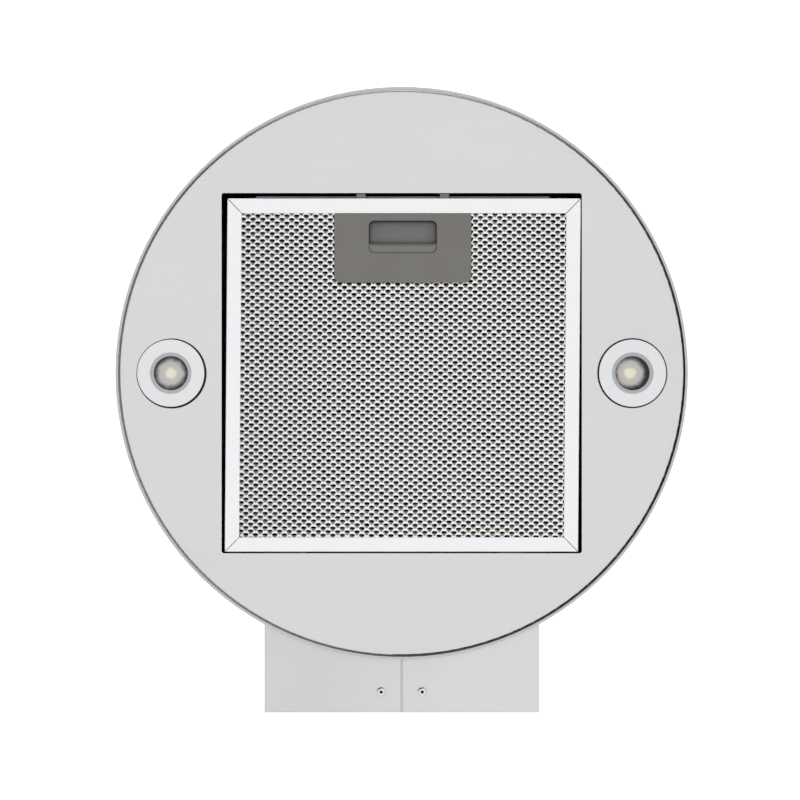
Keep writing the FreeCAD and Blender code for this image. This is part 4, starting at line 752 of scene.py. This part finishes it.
face_rings = [
    tile_edge(MESH_PITCH, FACE_POINTS),
    opening_ring(FACE_POINTS, *FACE_RIM, EYE_SHIFT),
    opening_ring(FACE_POINTS, *FACE_THROAT, EYE_SHIFT),
    tile_edge(MESH_PITCH, FACE_POINTS),
]
print("a tile has", len(face_rings), "rings with", FACE_POINTS, "points each")

# %% [markdown]
# The tiles lie in staggered rows, with a notch for the handle. The sheet was cut from its coil a little
# askew, so its rows lie at a small angle to the frame.

# %% Places of the tiles
MESH_PHASE = np.array([-0.62, -0.68])
MESH_TILT = math.radians(0.45)
MESH_HALF = 111.0
NOTCH_HALF = 34.5
NOTCH_REAR = -66.0 - FILTER_MIDDLE[1]


def askew(points):
    """Level points turned by the mesh's tilt t: (x cos t - y sin t, x sin t + y cos t)."""
    cosine, sine = math.cos(MESH_TILT), math.sin(MESH_TILT)
    return np.asarray(points) @ np.array([(cosine, sine), (-sine, cosine)])


def tile_places(pitch):
    """Middles of the staggered tiles inside the frame, less those in the handle's notch."""
    last_row = math.ceil(2 * MESH_HALF / pitch[1])
    last_column = math.ceil(MESH_HALF / pitch[0]) + 1
    column, row = np.meshgrid(np.arange(-last_column, last_column + 1), np.arange(-last_row, last_row + 1))
    across = (column + (row % 2) / 2) * pitch[0] + MESH_PHASE[0]
    back = row * pitch[1] / 2 + MESH_PHASE[1]
    places = askew(np.stack([across, back], axis=-1))
    inside = np.all(np.abs(places) < MESH_HALF - pitch / 2, axis=-1)
    notch = (np.abs(places[..., 0]) < NOTCH_HALF) & (places[..., 1] < NOTCH_REAR)
    return places[inside & ~notch]


face_places = tile_places(MESH_PITCH)
print("tiles in the lower face", len(face_places))

# %% [markdown]
# Thousands of tiles share their edges, and they are all worked out at once. No two openings of stretched
# metal are quite alike, so the rings are shaken a little. Walls between the sheet's two sides close its
# border. The lower face is made in two halves, to keep each mesh small.

# %% Sheets of tiles
POINT_SHAKE = 0.35
SEAM_STEPS = 500
FACE_LIFT = np.array([0.0, 0.12, 0.82, 0.98])
FACE_DEPTHS = (0.0, 0.2, 0.85, 1.0)
FACE_SHAKE = (0.0, 0.04, 0.22, 0.0)
FACE_SEED = 11


def expanded_sheet(places, rings, heights, jitter, seed):
    """All tiles at once: ring r of tile t is the tile's middle plus ring r at height r, and its jitter."""
    chance = np.random.default_rng(seed)
    count = len(rings[0])
    flat = places[:, None, None, :] + askew(rings)[None]
    shake = np.asarray(jitter)[None, :, None, None]
    flat = flat + chance.uniform(-1, 1, (len(places), len(rings), 1, 2)) * shake
    flat = flat + chance.uniform(-1, 1, (len(places), len(rings), count, 2)) * shake * POINT_SHAKE
    height = np.broadcast_to(np.asarray(heights)[None, :, None], flat.shape[:3])
    points = np.concatenate([flat + FILTER_MIDDLE, height[..., None]], axis=-1)
    ring_faces = grid_faces(len(rings), count, False)
    starts = np.arange(len(places)) * len(rings) * count
    faces = (ring_faces[None] + starts[:, None, None]).reshape(-1, 4)
    return points.reshape(-1, 3), faces


def close_sheet(points, faces, rings, count):
    """Walls between the front and back edge wherever no other tile has an edge with the same middle."""
    tiles = len(points) // (rings * count)
    first = np.arange(tiles)[:, None] * rings * count + np.arange(count)
    after = np.arange(tiles)[:, None] * rings * count + (np.arange(count) + 1) % count
    middle = np.round((points[first] + points[after])[..., :2] * SEAM_STEPS).astype(np.int64).reshape(-1, 2)
    _, place, number = np.unique(middle, axis=0, return_inverse=True, return_counts=True)
    alone = number[place.ravel()] == 1
    first, after = first.ravel()[alone], after.ravel()[alone]
    last = (rings - 1) * count
    walls = np.stack([first, after, after + last, first + last], axis=-1)
    return np.concatenate([faces, walls])


def mesh_piece(name, places, rings, heights, depths, jitter, material, node, seed):
    """A sheet of tiles as a finished piece, with a depth attribute that goes by the height of its points."""
    points, faces = expanded_sheet(places, rings, heights, jitter, seed)
    faces = close_sheet(points, faces, len(rings), len(rings[0]))
    piece = make_piece(name, points, faces, material, "filter", "filter_aluminium", node)
    place = np.empty(len(piece.data.vertices) * 3)
    piece.data.vertices.foreach_get("co", place)
    height = place.reshape(-1, 3)[:, 2] / MM + RIM_BELOW_BOLTS
    order = np.argsort(heights)
    value = np.interp(height, np.asarray(heights)[order], np.asarray(depths)[order])
    attribute = piece.data.attributes.new("depth", "FLOAT", "POINT")
    attribute.data.foreach_set("value", value.astype(np.float32))


face_heights = node_span("filter_mesh_lower")[0][2] + FACE_LIFT
face_look = (FACE_DEPTHS, FACE_SHAKE, mesh_aluminium, "filter_mesh_lower", FACE_SEED)
for word, half in (("front", face_places[:, 1] < 0), ("rear", face_places[:, 1] >= 0)):
    mesh_piece(f"expanded_face_{word}", face_places[half], face_rings, face_heights, *face_look)

# %% [markdown]
# Behind the face lie coarser layers of the same stuff, and a second face looks into the hood. Little
# of them is seen, so their openings have fewer points.

# %% Inner layer and upper face
BACK_POINTS = 8
BACK_PITCH = MESH_PITCH * 1.3
BACK_OPENING = (2.3, 1.6, 1.6)
CORE_LIFT = np.array([0.1, 0.5, 0.9])
CORE_DEPTHS = (0.3, 0.6, 1.0)
CORE_SHAKE = (0.0, 0.3, 0.0)
CORE_SEED = 12
TOP_DROP = np.array([0.0, 0.4, 0.9])
TOP_DEPTHS = (0.0, 0.3, 1.0)
TOP_SHAKE = (0.0, 0.15, 0.0)
TOP_SEED = 13
back_rings = [
    tile_edge(BACK_PITCH, BACK_POINTS),
    opening_ring(BACK_POINTS, *BACK_OPENING, 0.0),
    tile_edge(BACK_PITCH, BACK_POINTS),
]
back_places = tile_places(BACK_PITCH)
core_heights = node_span("filter_mesh_core")[0][2] + CORE_LIFT
top_heights = node_span("filter_mesh_upper")[1][2] - TOP_DROP
core_look = (CORE_DEPTHS, CORE_SHAKE, core_painted_shade_aluminium)
top_look = (TOP_DEPTHS, TOP_SHAKE, mesh_aluminium)
back_tiles = (back_places, back_rings)
mesh_piece("expanded_core", *back_tiles, core_heights, *core_look, "filter_mesh_core", CORE_SEED)
mesh_piece("expanded_top_face", *back_tiles, top_heights, *top_look, "filter_mesh_upper", TOP_SEED)

# %% [markdown]
# ## The handle plate
# A moulded plate with rounded rear corners and a slot for the finger. Its surface is a loop that is
# carried from the slot's wall over the face and round the outside to the back, like a tyre that has
# been pressed flat. The edges are rounded by a few loops that step in while they step down. A slot cut
# with a boolean would do too, but loops keep the faces even round the corners.

# %% Handle plate
PLATE_ROUND = 0.45
PLATE_STEPS = 6
LEAST_CORNER = 0.05
EDGE_STEPS = np.linspace(0, math.pi / 2, 5)
plate_low, plate_high = node_span("handle_plate")
SLOT_LOW = np.array([-21.3, -98.7])
SLOT_HIGH = np.array([22.7, -77.7])
SLOT_CORNER = 3.6
PLATE_CORNERS = (0.5, 4.0, 4.0, 0.5)


def plate_loop(low, high, corners, inset, height):
    """A level rectangle drawn in by an inset, each corner an arc whose radius shrinks by the inset."""
    front, back = low[1] + inset, high[1] - inset
    left, right = low[0] + inset, high[0] - inset
    radii = [max(corner - inset, LEAST_CORNER) for corner in corners]
    flat = rounded_outline([(right, front), (right, back), (left, back), (left, front)], radii, PLATE_STEPS)
    return np.column_stack([flat, np.full(len(flat), height)])


def plate_edge(low, high, corners, way):
    """The rounded edge round a rectangle: each loop steps out by a sine while it rises by a cosine."""
    insets = way * PLATE_ROUND * (1 - np.sin(EDGE_STEPS))
    heights = plate_low[2] + PLATE_ROUND * (1 - np.cos(EDGE_STEPS))
    return [plate_loop(low, high, corners, inset, height) for inset, height in zip(insets, heights)]


slot_corners = (SLOT_CORNER,) * 4
handle_loops = [
    plate_loop(SLOT_LOW, SLOT_HIGH, slot_corners, 0.0, plate_high[2]),
    *plate_edge(SLOT_LOW, SLOT_HIGH, slot_corners, -1)[::-1],
    *plate_edge(plate_low[:2], plate_high[:2], PLATE_CORNERS, 1),
    plate_loop(plate_low[:2], plate_high[:2], PLATE_CORNERS, 0.0, plate_high[2]),
]
make_piece("handle_face", *loft(handle_loops, True), handle_abs, "filter", "handle_plastic", "handle_plate")

# %% [markdown]
# Behind the slot lies the latch: a recess for the fingertip and a strip to pull on. Shade falls along
# the outlines of both, and it is painted: the latch's colour is scaled down near them. The distance from
# a rounded rectangle is that from the smaller rectangle of its arcs' centres, less the arcs' radius.

# %% Shade round the recess and the strip
STRIP_DEPTH = 6.1
RECESS_SHADE = (2.2, 0.45)
SLOT_SHADE = (0.7, 0.2)
FAR = 1e6


def shade_outline(material, low, high, reach, least):
    """Painted shade: scales a finish down to a least share on a rounded outline, and leaves it alone from a
    reach away.
    """
    tree = material.node_tree
    inner = np.append((high - low) / 2 - SLOT_CORNER, FAR) * MM
    away = place_from(tree, (*(low + high) / 2, 0))
    size = add_node(tree, VECTORS, {0: away}, operation="ABSOLUTE").outputs["Vector"]
    past = add_node(tree, VECTORS, {0: size, 1: inner}, operation="SUBTRACT").outputs["Vector"]
    beyond = add_node(tree, VECTORS, {0: past}, operation="MAXIMUM").outputs["Vector"]
    length = add_node(tree, VECTORS, {0: beyond}, operation="LENGTH").outputs["Value"]
    signed = add_node(tree, NUMBERS, {0: length, 1: SLOT_CORNER * MM}, operation="SUBTRACT").outputs[0]
    gap = add_node(tree, NUMBERS, {0: signed}, operation="ABSOLUTE").outputs[0]
    share = add_node(tree, RANGE, {"Value": gap}, from_max=reach * MM, to_min=least)
    tinted(material, share.outputs["Result"])


strip_front = np.array([SLOT_HIGH[0], SLOT_HIGH[1] - STRIP_DEPTH])
# Painted shade round the recess and along the slot's outline.
shade_outline(latch_abs, SLOT_LOW, strip_front, *RECESS_SHADE)
shade_outline(latch_abs, SLOT_LOW, SLOT_HIGH, *SLOT_SHADE)
print("latch shaded along", SLOT_LOW, SLOT_HIGH)

# %% [markdown]
# Two strip springs press the latch forwards. Each is a flat strip bent to and fro: its path runs along
# the legs and round half circles between them, and the strip is the path widened by half the sheet to
# either side. When the latch is drawn back, the springs are pressed together against the housing.

# %% Strip springs
SPRING_LEGS = 6
SPRING_SHEET = 0.4
SPRING_WIDTH = 3.4
BEND_STEPS = 7
spring_low, spring_high = node_span("latch_springs")


def strip_spring(middle):
    """A meander: leg k lies k pitches back, and half circles of half a pitch join the ends of the legs."""
    pitch = (spring_high[1] - spring_low[1] - SPRING_SHEET) / (SPRING_LEGS - 1)
    first = spring_low[1] + SPRING_SHEET / 2
    leg = np.arange(SPRING_LEGS - 1)[:, None]
    turn = np.linspace(-math.pi / 2, math.pi / 2, BEND_STEPS)[None, :]
    reach = SPRING_WIDTH / 2 - SPRING_SHEET / 2 - pitch / 2
    across = middle + (1 - 2 * (leg % 2)) * (reach + pitch / 2 * np.cos(turn))
    back = first + pitch * leg + pitch / 2 * (1 + np.sin(turn))
    bends = np.stack([across, back], axis=-1).reshape(-1, 2)
    start = (middle - SPRING_WIDTH / 2, first)
    end = (middle - SPRING_WIDTH / 2, first + pitch * (SPRING_LEGS - 1))
    path = np.concatenate([[start], bends, [end]])
    along = np.gradient(path, axis=0)
    beside = np.stack([-along[:, 1], along[:, 0]], axis=-1) / np.linalg.norm(along, axis=1)[:, None]
    one = path - beside * SPRING_SHEET / 2
    other = path + beside * SPRING_SHEET / 2
    flat = np.stack([one, other, other, one], axis=1)
    height = np.array([spring_low[2], spring_low[2], spring_high[2], spring_high[2]])
    heights = np.broadcast_to(height, flat.shape[:2])
    return loft(np.concatenate([flat, heights[..., None]], axis=-1), False)


spring_middles = (spring_low[0] + SPRING_WIDTH / 2, spring_high[0] - SPRING_WIDTH / 2)
springs = joined_parts([strip_spring(middle) for middle in spring_middles])
spring_strips = make_piece(
    "latch_strip_springs", *springs, spring_steel, "filter", "spring_steel", "latch_springs"
)
close_ends(spring_strips)
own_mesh(spring_strips)

# %% [markdown]
# ## Seal and lap
# A grey cord closes the gap between the panel and the tube's folded rim. Its colour is painted light and
# shade, light in front and dark on the right and at the back, so it goes round with the direction from
# the tube's axis. Its section is turned about that axis.

# %% Panel seal
SEAL_SEGMENTS = 256
HEM_INSIDE = 183.3
SEAL_INSET = 0.03
SEAL_DEPTH = 0.9


def revolve(profile, centre, segments, wrap):
    """Point (angle, k) is the centre plus radius k towards that angle, at height k of the profile."""
    angle = np.linspace(0, 2 * math.pi, segments, endpoint=False)[:, None]
    radius, height = np.asarray(profile, float).T
    across = centre[0] + radius * np.cos(angle)
    back = centre[1] + radius * np.sin(angle)
    points = np.stack([across, back, np.broadcast_to(height, across.shape)], axis=-1)
    rows = np.swapaxes(points, 0, 1).reshape(-1, 3)
    return rows, grid_faces(len(radius), segments, wrap)


def painted_light_round_axis(name, shades):
    """Foam cord with painted light and shade at equal angles round the axis, from the left over the front and
    back again.
    """
    material, tree, shader = new_material(name, shades[0], 0.9, gloss=0.1)
    split = add_node(tree, SPLIT, {"Vector": place_from(tree, (0, 0, 0))}).outputs
    turn = add_node(tree, NUMBERS, {0: split["Y"], 1: split["X"]}, operation="ARCTAN2").outputs[0]
    share = add_node(tree, RANGE, {"Value": turn}, from_min=-math.pi, from_max=math.pi).outputs["Result"]
    stops = list(zip(np.linspace(0, 1, len(shades)).tolist(), shades))
    shade = add_node(tree, RAMP, {"Fac": share}, stops).outputs["Color"]
    tree.links.new(shade, shader.inputs["Base Color"])
    return material


panel_low, panel_high = node_span("base_panel")
seal_in = panel_high[0] + SEAL_INSET
seal_out = HEM_INSIDE - SEAL_INSET
seal_profile = [
    (seal_in, panel_low[2] + SEAL_INSET),
    (seal_out, panel_low[2] + SEAL_INSET),
    (seal_out, panel_low[2] + SEAL_DEPTH),
    (seal_in, panel_low[2] + SEAL_DEPTH),
]
# The cord's shades round the axis are painted light and shade.
seal_left = ("#948f8c", "#7c7774")
seal_right = ("#66615e", "#1f1e1d")
seal_rear = ("#4d4a48", "#666260", "#aea9a6")
seal_painted_light = painted_light_round_axis("foam_cord_painted_light_and_shade", (*seal_left, "#f0f0f0", *seal_right, *seal_rear, seal_left[0]))
make_piece(
    "panel_seal", *revolve(seal_profile, (0, 0), SEAL_SEGMENTS, True), seal_painted_light, "hood", "grommet_rubber"
)

# %% [markdown]
# Behind the seam of the two covers lies a lap, a strip of the same sheet.

# %% Cover lap
LAP_FRONT = 185.15
LAP_HALF = 2.0
LAP_SHEET = 0.4
LAP_RISE = 0.35
cover_low, cover_high = node_span("rear_cover_left")
lap_middle = (0, (LAP_FRONT + cover_high[1]) / 2, cover_low[2] + LAP_RISE + LAP_SHEET / 2)
lap_size = (2 * LAP_HALF, cover_high[1] - LAP_FRONT, LAP_SHEET)
make_piece("cover_lap", *block(lap_middle, lap_size), cover_right_steel, "hood", "stainless_panel")

# %% [markdown]
# ## The lamps
# Each lamp is a turned ring with soft edges and a narrow bevel that leads to a frosted lens; the bevel's
# steel is a darker copy of the ring's, as painted shade. A black foam gasket under the ring sits a little
# off centre and shows as the ring's painted shadow on the panel. The pieces are profiles turned about the
# lamp's axis. The lens glows where the diode sits behind it, and towards its rim it darkens with painted
# shade from the reflector's wall, so its colour is a ramp over the distance from the diode, which need not
# sit on the axis. A light behind the lens would take many samples to look smooth, so the glow is a part
# of the finish.

# %% Lens finish
LAMP_OFFSET = 149.25
LENS_RADIUS = 10.9
FROST_GRAIN = (4, 4, 4)
FROST_RIPPLE = 0.12
# Lens skin: light in the middle, then painted shade towards the rim.
LENS_SKIN_AND_SHADE = [
    (0.0, "#c4c2bd"),
    (0.34, "#b9b5b3"),
    (0.68, "#b5b2b1"),
    (0.79, "#868483"),
    (0.9, "#484848"),
    (0.98, "#1e1e1e"),
]
LENS_GLOW = [(0.0, "#8a8459"), (0.27, "#8a8459"), (0.37, "#4a4440"), (0.68, "#202020"), (0.85, "#000000")]


def frosted_lens(name, across):
    """Frosted polycarbonate: colour, painted shade and glow go by the distance to the diode, a little uneven.
    """
    material, tree, shader = new_material(name, "#bdbdbd", 0.35, gloss=0.35)
    level = (1 / (LENS_RADIUS * MM), 1 / (LENS_RADIUS * MM), 0)
    parts = {0: place_from(tree, (across, 0, 0)), 1: level}
    flat = add_node(tree, VECTORS, parts, operation="MULTIPLY").outputs["Vector"]
    away = add_node(tree, VECTORS, {0: flat}, operation="LENGTH").outputs["Value"]
    frost = pattern(tree, NOISE, FROST_GRAIN, detail=2.0)["Fac"]
    ripple = add_node(tree, RANGE, {"Value": frost}, to_min=-FROST_RIPPLE, to_max=FROST_RIPPLE)
    uneven = add_node(tree, NUMBERS, {0: away, 1: ripple.outputs["Result"]}, operation="ADD").outputs[0]
    skin = add_node(tree, RAMP, {"Fac": uneven}, LENS_SKIN_AND_SHADE).outputs["Color"]
    glow = add_node(tree, RAMP, {"Fac": uneven}, LENS_GLOW).outputs["Color"]
    tree.links.new(skin, shader.inputs["Base Color"])
    tree.links.new(glow, shader.inputs["Emission Color"])
    shader.inputs["Emission Strength"].default_value = 1.0
    return material


# The gasket's black stands for the ring's painted shadow; the bevel's darker steel is painted shade.
gasket_shadow_foam = moulded("foam_black_gasket_painted_shadow", ("#141414", "#1b1b1b"), 0.7, (0.8, 0.95), 0.05)
bevel_painted_shade_steel = brushed_sheet("stainless_turned_bevel_painted_shade", (2, 2, 2), ("#adadb0", "#bcbcbf"), (0.22, 0.32), 0.002)
print("lamp finishes", gasket_shadow_foam.name, bevel_painted_shade_steel.name)

# %% [markdown]
# The ring's flange lies on the gasket and its neck goes through the panel. The bevel leads from the
# ring's face up to the window. Each section is a closed outline of (radius, height) points.

# %% Sections of ring and bevel
RING_RADIUS = 21.75
RING_SHEET = 1.7
RING_ROUNDS = (0.12, 0.55, 0.3, 0.1, 0.2, 0.2, 0.1, 0.05)
NECK_RADIUS = 19.0
NECK_SHEET = 1.2
BEVEL_RADIUS = 13.3
BEVEL_FIT = 0.03
BEVEL_FOOT = 0.2
BEVEL_HEAD = 1.2
BEVEL_BACK = 1.6
BEVEL_ROUNDS = (0.1, 0.05, 0.05, 0.05)
WINDOW_RADIUS = 11.0
WINDOW_FIT = 0.02
GASKET_SPACE = 0.3


def ring_section(foot, head, panel_face):
    """The ring: out along its face, up the edge, in to the neck, up the neck and down inside it."""
    flange_back = panel_face - GASKET_SPACE
    neck_inside = NECK_RADIUS - NECK_SHEET
    corners = [
        (BEVEL_RADIUS, foot),
        (RING_RADIUS, foot),
        (RING_RADIUS, flange_back),
        (NECK_RADIUS, flange_back),
        (NECK_RADIUS, head),
        (neck_inside, head),
        (neck_inside, foot + RING_SHEET),
        (BEVEL_RADIUS, foot + RING_SHEET),
    ]
    return rounded_outline(corners, RING_ROUNDS)


def bevel_section(foot):
    """The bevel: a slope from the window's edge down and out to the ring's face, with a level back."""
    inside = WINDOW_RADIUS + WINDOW_FIT
    outside = BEVEL_RADIUS - BEVEL_FIT
    back = foot + BEVEL_BACK
    corners = [(inside, foot + BEVEL_HEAD), (outside, foot + BEVEL_FOOT), (outside, back), (inside, back)]
    return rounded_outline(corners, BEVEL_ROUNDS)


print("radii of ring and bevel", RING_RADIUS, BEVEL_RADIUS)

# %% [markdown]
# The gasket is a flat strip of foam under the flange, and a little of it shows round the ring as a painted
# shadow. The lens is a disc that bulges slightly towards the room.

# %% Sections of gasket and lens
GASKET_LOW = 0.28
GASKET_HIGH = 0.02
GASKET_INSIDE = 19.7
GASKET_RADIUS = 22.65
GASKET_ROUNDS = (0.05, 0.1, 0.05, 0.05)
LENS_STEPS = 9
LENS_DOME = 0.35
LENS_SHEET = 1.2


def gasket_section(panel_face):
    """The gasket: a flat strip just below the panel's face."""
    low = panel_face - GASKET_LOW
    high = panel_face - GASKET_HIGH
    corners = [(GASKET_INSIDE, low), (GASKET_RADIUS, low), (GASKET_RADIUS, high), (GASKET_INSIDE, high)]
    return rounded_outline(corners, GASKET_ROUNDS)


def lens_section(foot):
    """The lens: a face that rises with the square of the radius, and a level back."""
    share = np.linspace(0, 1, LENS_STEPS)
    face = np.column_stack([LENS_RADIUS * share, foot + LENS_DOME * share**2])
    back = np.array([(LENS_RADIUS, foot + LENS_SHEET), (0.0, foot + LENS_SHEET)])
    return np.concatenate([face, back])


print("radii of gasket and lens", GASKET_RADIUS, LENS_RADIUS)

# %% [markdown]
# Both lamps are made alike. Only the gasket and the diode are shifted from the lamp's axis by a little,
# on each lamp in its own way. These shifts place the painted shadow round the ring and the painted shade on
# the lens.

# %% Left and right lamp
RING_SEGMENTS = 128
LAMPS = (("left", -LAMP_OFFSET, (0.42, 0.22), -0.1), ("right", LAMP_OFFSET, (-0.12, 0.0), -1.7))


def turned_piece(name, section, middle, closed, material, slot, *nodes):
    """A section turned about an upright axis, as a piece of the hood."""
    points, faces = revolve(section, middle, RING_SEGMENTS, closed)
    make_piece(name, points, faces, material, "hood", slot, *nodes)


def lamp_pieces(word, across, gasket_shadow_shift, diode_and_shade_shift):
    """One lamp's ring, bevel, gasket and lens."""
    middle = (across, 0)
    gasket_middle = (across + gasket_shadow_shift[0], gasket_shadow_shift[1])
    bezel_node = f"lamp_{word}_bezel"
    lens_node = f"lamp_{word}_lens"
    foot, head = (corner[2] for corner in node_span(bezel_node))
    ring = ring_section(foot, head, panel_low[2])
    bevel = bevel_section(foot)
    gasket = gasket_section(panel_low[2])
    lens = lens_section(node_span(lens_node)[0][2])
    frost = frosted_lens(f"polycarbonate_frosted_{word}", across + diode_and_shade_shift)
    turned_piece(f"lamp_{word}_ring", ring, middle, True, ring_steel, "lamp_metal", bezel_node)
    turned_piece(f"lamp_{word}_bevel", bevel, middle, True, bevel_painted_shade_steel, "lamp_metal", bezel_node)
    turned_piece(f"lamp_{word}_gasket", gasket, gasket_middle, True, gasket_shadow_foam, "grommet_rubber")
    turned_piece(f"lamp_{word}_frosted_lens", lens, middle, False, frost, "lamp_lens", lens_node)


for lamp in LAMPS:
    lamp_pieces(*lamp)

# %% [markdown]
# ## The cover screws
# Button heads hold the covers. The head is a dome turned about its axis, and its socket is a hexagon:
# the radius of a hexagon at an angle is its half width over the cosine of the angle to the nearest flat.

# %% Button heads
SCREW_SEGMENTS = 48
SCREW_OFFSET = 13.3
HEAD_RADIUS = 2.85
HEAD_HEIGHT = 1.7
DOME_FOOT = 0.15
DOME_TOP = 1.35
DOME_STEPS = 8
SOCKET_HALF = 1.0
SOCKET_SHARES = (0.98, 0.4, 0.35)
SHANK_RADIUS = 1.5
SHANK_LENGTH = 5.0


def button_head(at, seat, way):
    """A screw as loops about its axis: shank, seat, dome, and the hexagon socket down to its floor."""
    angle = np.linspace(0, 2 * math.pi, SCREW_SEGMENTS, endpoint=False)
    to_flat = (angle + math.pi / 6) % (math.pi / 3) - math.pi / 6
    hexagon = SOCKET_HALF / np.cos(to_flat)
    circle = np.ones(SCREW_SEGMENTS)
    lift = np.linspace(DOME_FOOT, 1, DOME_STEPS)
    fall = 1 - np.sqrt(1 - ((lift - DOME_FOOT) / (1 - DOME_FOOT)) ** 2)
    dome_radius = HEAD_RADIUS - (HEAD_RADIUS - DOME_TOP) * fall
    mouth, wall, floor = (HEAD_HEIGHT * share for share in SOCKET_SHARES)
    loops = [(0 * circle, -SHANK_LENGTH), (SHANK_RADIUS * circle, -SHANK_LENGTH)]
    loops += [(SHANK_RADIUS * circle, 0.0), (HEAD_RADIUS * circle, 0.0)]
    loops += [(radius * circle, HEAD_HEIGHT * share) for radius, share in zip(dome_radius, lift)]
    loops += [(hexagon, mouth), (hexagon, wall), (0 * circle, floor)]
    radius = np.array([radius for radius, _ in loops])
    height = np.array([height for _, height in loops])[:, None] * way + seat
    across = at[0] + radius * np.cos(angle)
    back = at[1] + radius * np.sin(angle)
    return loft(np.stack([across, back, np.broadcast_to(height, radius.shape)], axis=-1), False)


screw_low, screw_high = node_span("cover_screws")
screw_places = [(side * SCREW_OFFSET, screw_low[1] + HEAD_RADIUS) for side in (-1, 1)]
screws = [button_head(at, screw_low[2] + HEAD_HEIGHT, -1) for at in screw_places]
screws += [button_head(at, screw_high[2] - HEAD_HEIGHT, 1) for at in screw_places]
heads = make_piece(
    "cover_button_heads", *joined_parts(screws), screw_steel, "hood", "stainless_screw", "cover_screws"
)

# %% [markdown]
# Shade makes a socket nearly black, and that shade is painted: faces nearer to a screw's axis than the
# socket's corners get a nearly black finish, except the foot of the shank. The flank of each head is painted
# darker on one side, as shade.

# %% Dark sockets
SOCKET_REACH = SOCKET_HALF * 1.05
SOCKET_DEPTH = HEAD_HEIGHT * 0.9
FLANK_RADIUS = HEAD_RADIUS * 0.72
SHADED_SIDE = np.array([-0.4, -0.92, 0.0])
SHADED_TURN = 0.55
# Painted shade: near-black sockets, and a darker flank on one side of each head.
socket_painted_shade_steel = moulded("steel_socket_painted_shade", ("#0c0c0c", "#121212"), 0.5, (0.5, 0.7), 0.005)
flank_painted_shade_steel = moulded("steel_flank_painted_shade", ("#3d3c3c", "#4a4949"), 0.5, (0.4, 0.6), 0.005)
heads.data.materials.append(socket_painted_shade_steel)
heads.data.materials.append(flank_painted_shade_steel)
centres = np.empty((len(heads.data.polygons), 3))
facing = np.empty((len(heads.data.polygons), 3))
heads.data.polygons.foreach_get("center", centres.ravel())
heads.data.polygons.foreach_get("normal", facing.ravel())
axes = to_frame([(x, y, 0) for x, y in screw_places])
off_axis = np.linalg.norm(centres[:, None, :2] - axes[None, :, :2], axis=-1).min(axis=1) / MM
height = centres[:, 2] / MM + RIM_BELOW_BOLTS
in_head = (height < screw_low[2] + SOCKET_DEPTH) | (height > screw_high[2] - SOCKET_DEPTH)
in_socket = (off_axis < SOCKET_REACH) & in_head
shaded_flank = (facing @ SHADED_SIDE > SHADED_TURN) & (off_axis > FLANK_RADIUS)
heads.data.polygons.foreach_set("material_index", np.where(shaded_flank, 2, in_socket).astype(np.int32))
print("socket faces", int(in_socket.sum()), "tarnished faces", int(shaded_flank.sum()))

# %% [markdown]
# ## Camera, light and floor
# The picture is taken from below, looking straight up, with the front of the hood at the top. The
# room is white: a pale floor far below lights the underside, and the sky behind the hood is white.
# Grey curtains to the left and right show in the tube as soft bands, so that it looks round.

# %% Camera
PICTURE_WIDTH = 516.7
CAMERA_DROP = 1600.0
CAMERA_PLACE = (-1.1, 17.35)
camera = bpy.data.objects.new("camera", bpy.data.cameras.new("camera"))
bpy.context.scene.collection.objects.link(camera)
camera.data.sensor_fit = "HORIZONTAL"
camera.data.angle = 2 * math.atan(PICTURE_WIDTH / 2 / CAMERA_DROP)
camera.data.clip_end = 100
camera.location = to_frame((*CAMERA_PLACE, -CAMERA_DROP))
camera.rotation_euler = (math.pi, 0, 0)
bpy.context.scene.camera = camera
print("camera looks up from", CAMERA_DROP, "mm below the rim")

# %% [markdown]
# The sky's brightness goes by its height above the horizon, and the curtains' by the way to the side.
# The sky is their product.

# %% Light and floor
FLOOR_DROP = 3200.0
FLOOR_HALF = 30000.0
FLOOR_SHEET = 20.0
SKY_STRENGTH = 1.51
SKY_STOPS = [(0.0, "#f4f4f4"), (0.5, "#dddddd"), (0.75, "#e9e9e9"), (0.93, "#ffffff"), (1.0, "#ffffff")]
CURTAIN_STOPS = [
    (0.0, "#757575"),
    (0.14, "#a2a2a2"),
    (0.3, "#ffffff"),
    (0.68, "#ffffff"),
    (0.86, "#b8b8b8"),
    (1.0, "#909090"),
]
world = bpy.data.worlds.new("white_room")
bpy.context.scene.world = world
world.use_nodes = True
sky = world.node_tree
background = sky.nodes["Background"]
direction = add_node(sky, SPLIT, {"Vector": add_node(sky, PLACE).outputs["Generated"]}).outputs
rise = add_node(sky, RANGE, {"Value": direction["Z"]}, from_min=-1.0).outputs["Result"]
side = add_node(sky, RANGE, {"Value": direction["X"]}, from_min=-1.0).outputs["Result"]
sky_shade = add_node(sky, RAMP, {"Fac": rise}, SKY_STOPS).outputs["Color"]
curtain_shade = add_node(sky, RAMP, {"Fac": side}, CURTAIN_STOPS).outputs["Color"]
both = add_node(sky, VECTORS, {0: sky_shade, 1: curtain_shade}, operation="MULTIPLY").outputs["Vector"]
sky.links.new(both, background.inputs["Color"])
background.inputs["Strength"].default_value = SKY_STRENGTH
floor_middle = (0, 0, -FLOOR_DROP - FLOOR_SHEET / 2)
floor_size = (2 * FLOOR_HALF, 2 * FLOOR_HALF, FLOOR_SHEET)
floor = bpy.data.objects.new("floor", make_mesh("floor", *block(floor_middle, floor_size)))
bpy.context.scene.collection.objects.link(floor)
floor_paint, _, _ = new_material("paint_matt_pale", "#f2f2f2", 0.9)
floor.data.materials.append(floor_paint)
bpy.context.scene.view_settings.view_transform = "Standard"
print("light and floor ready")
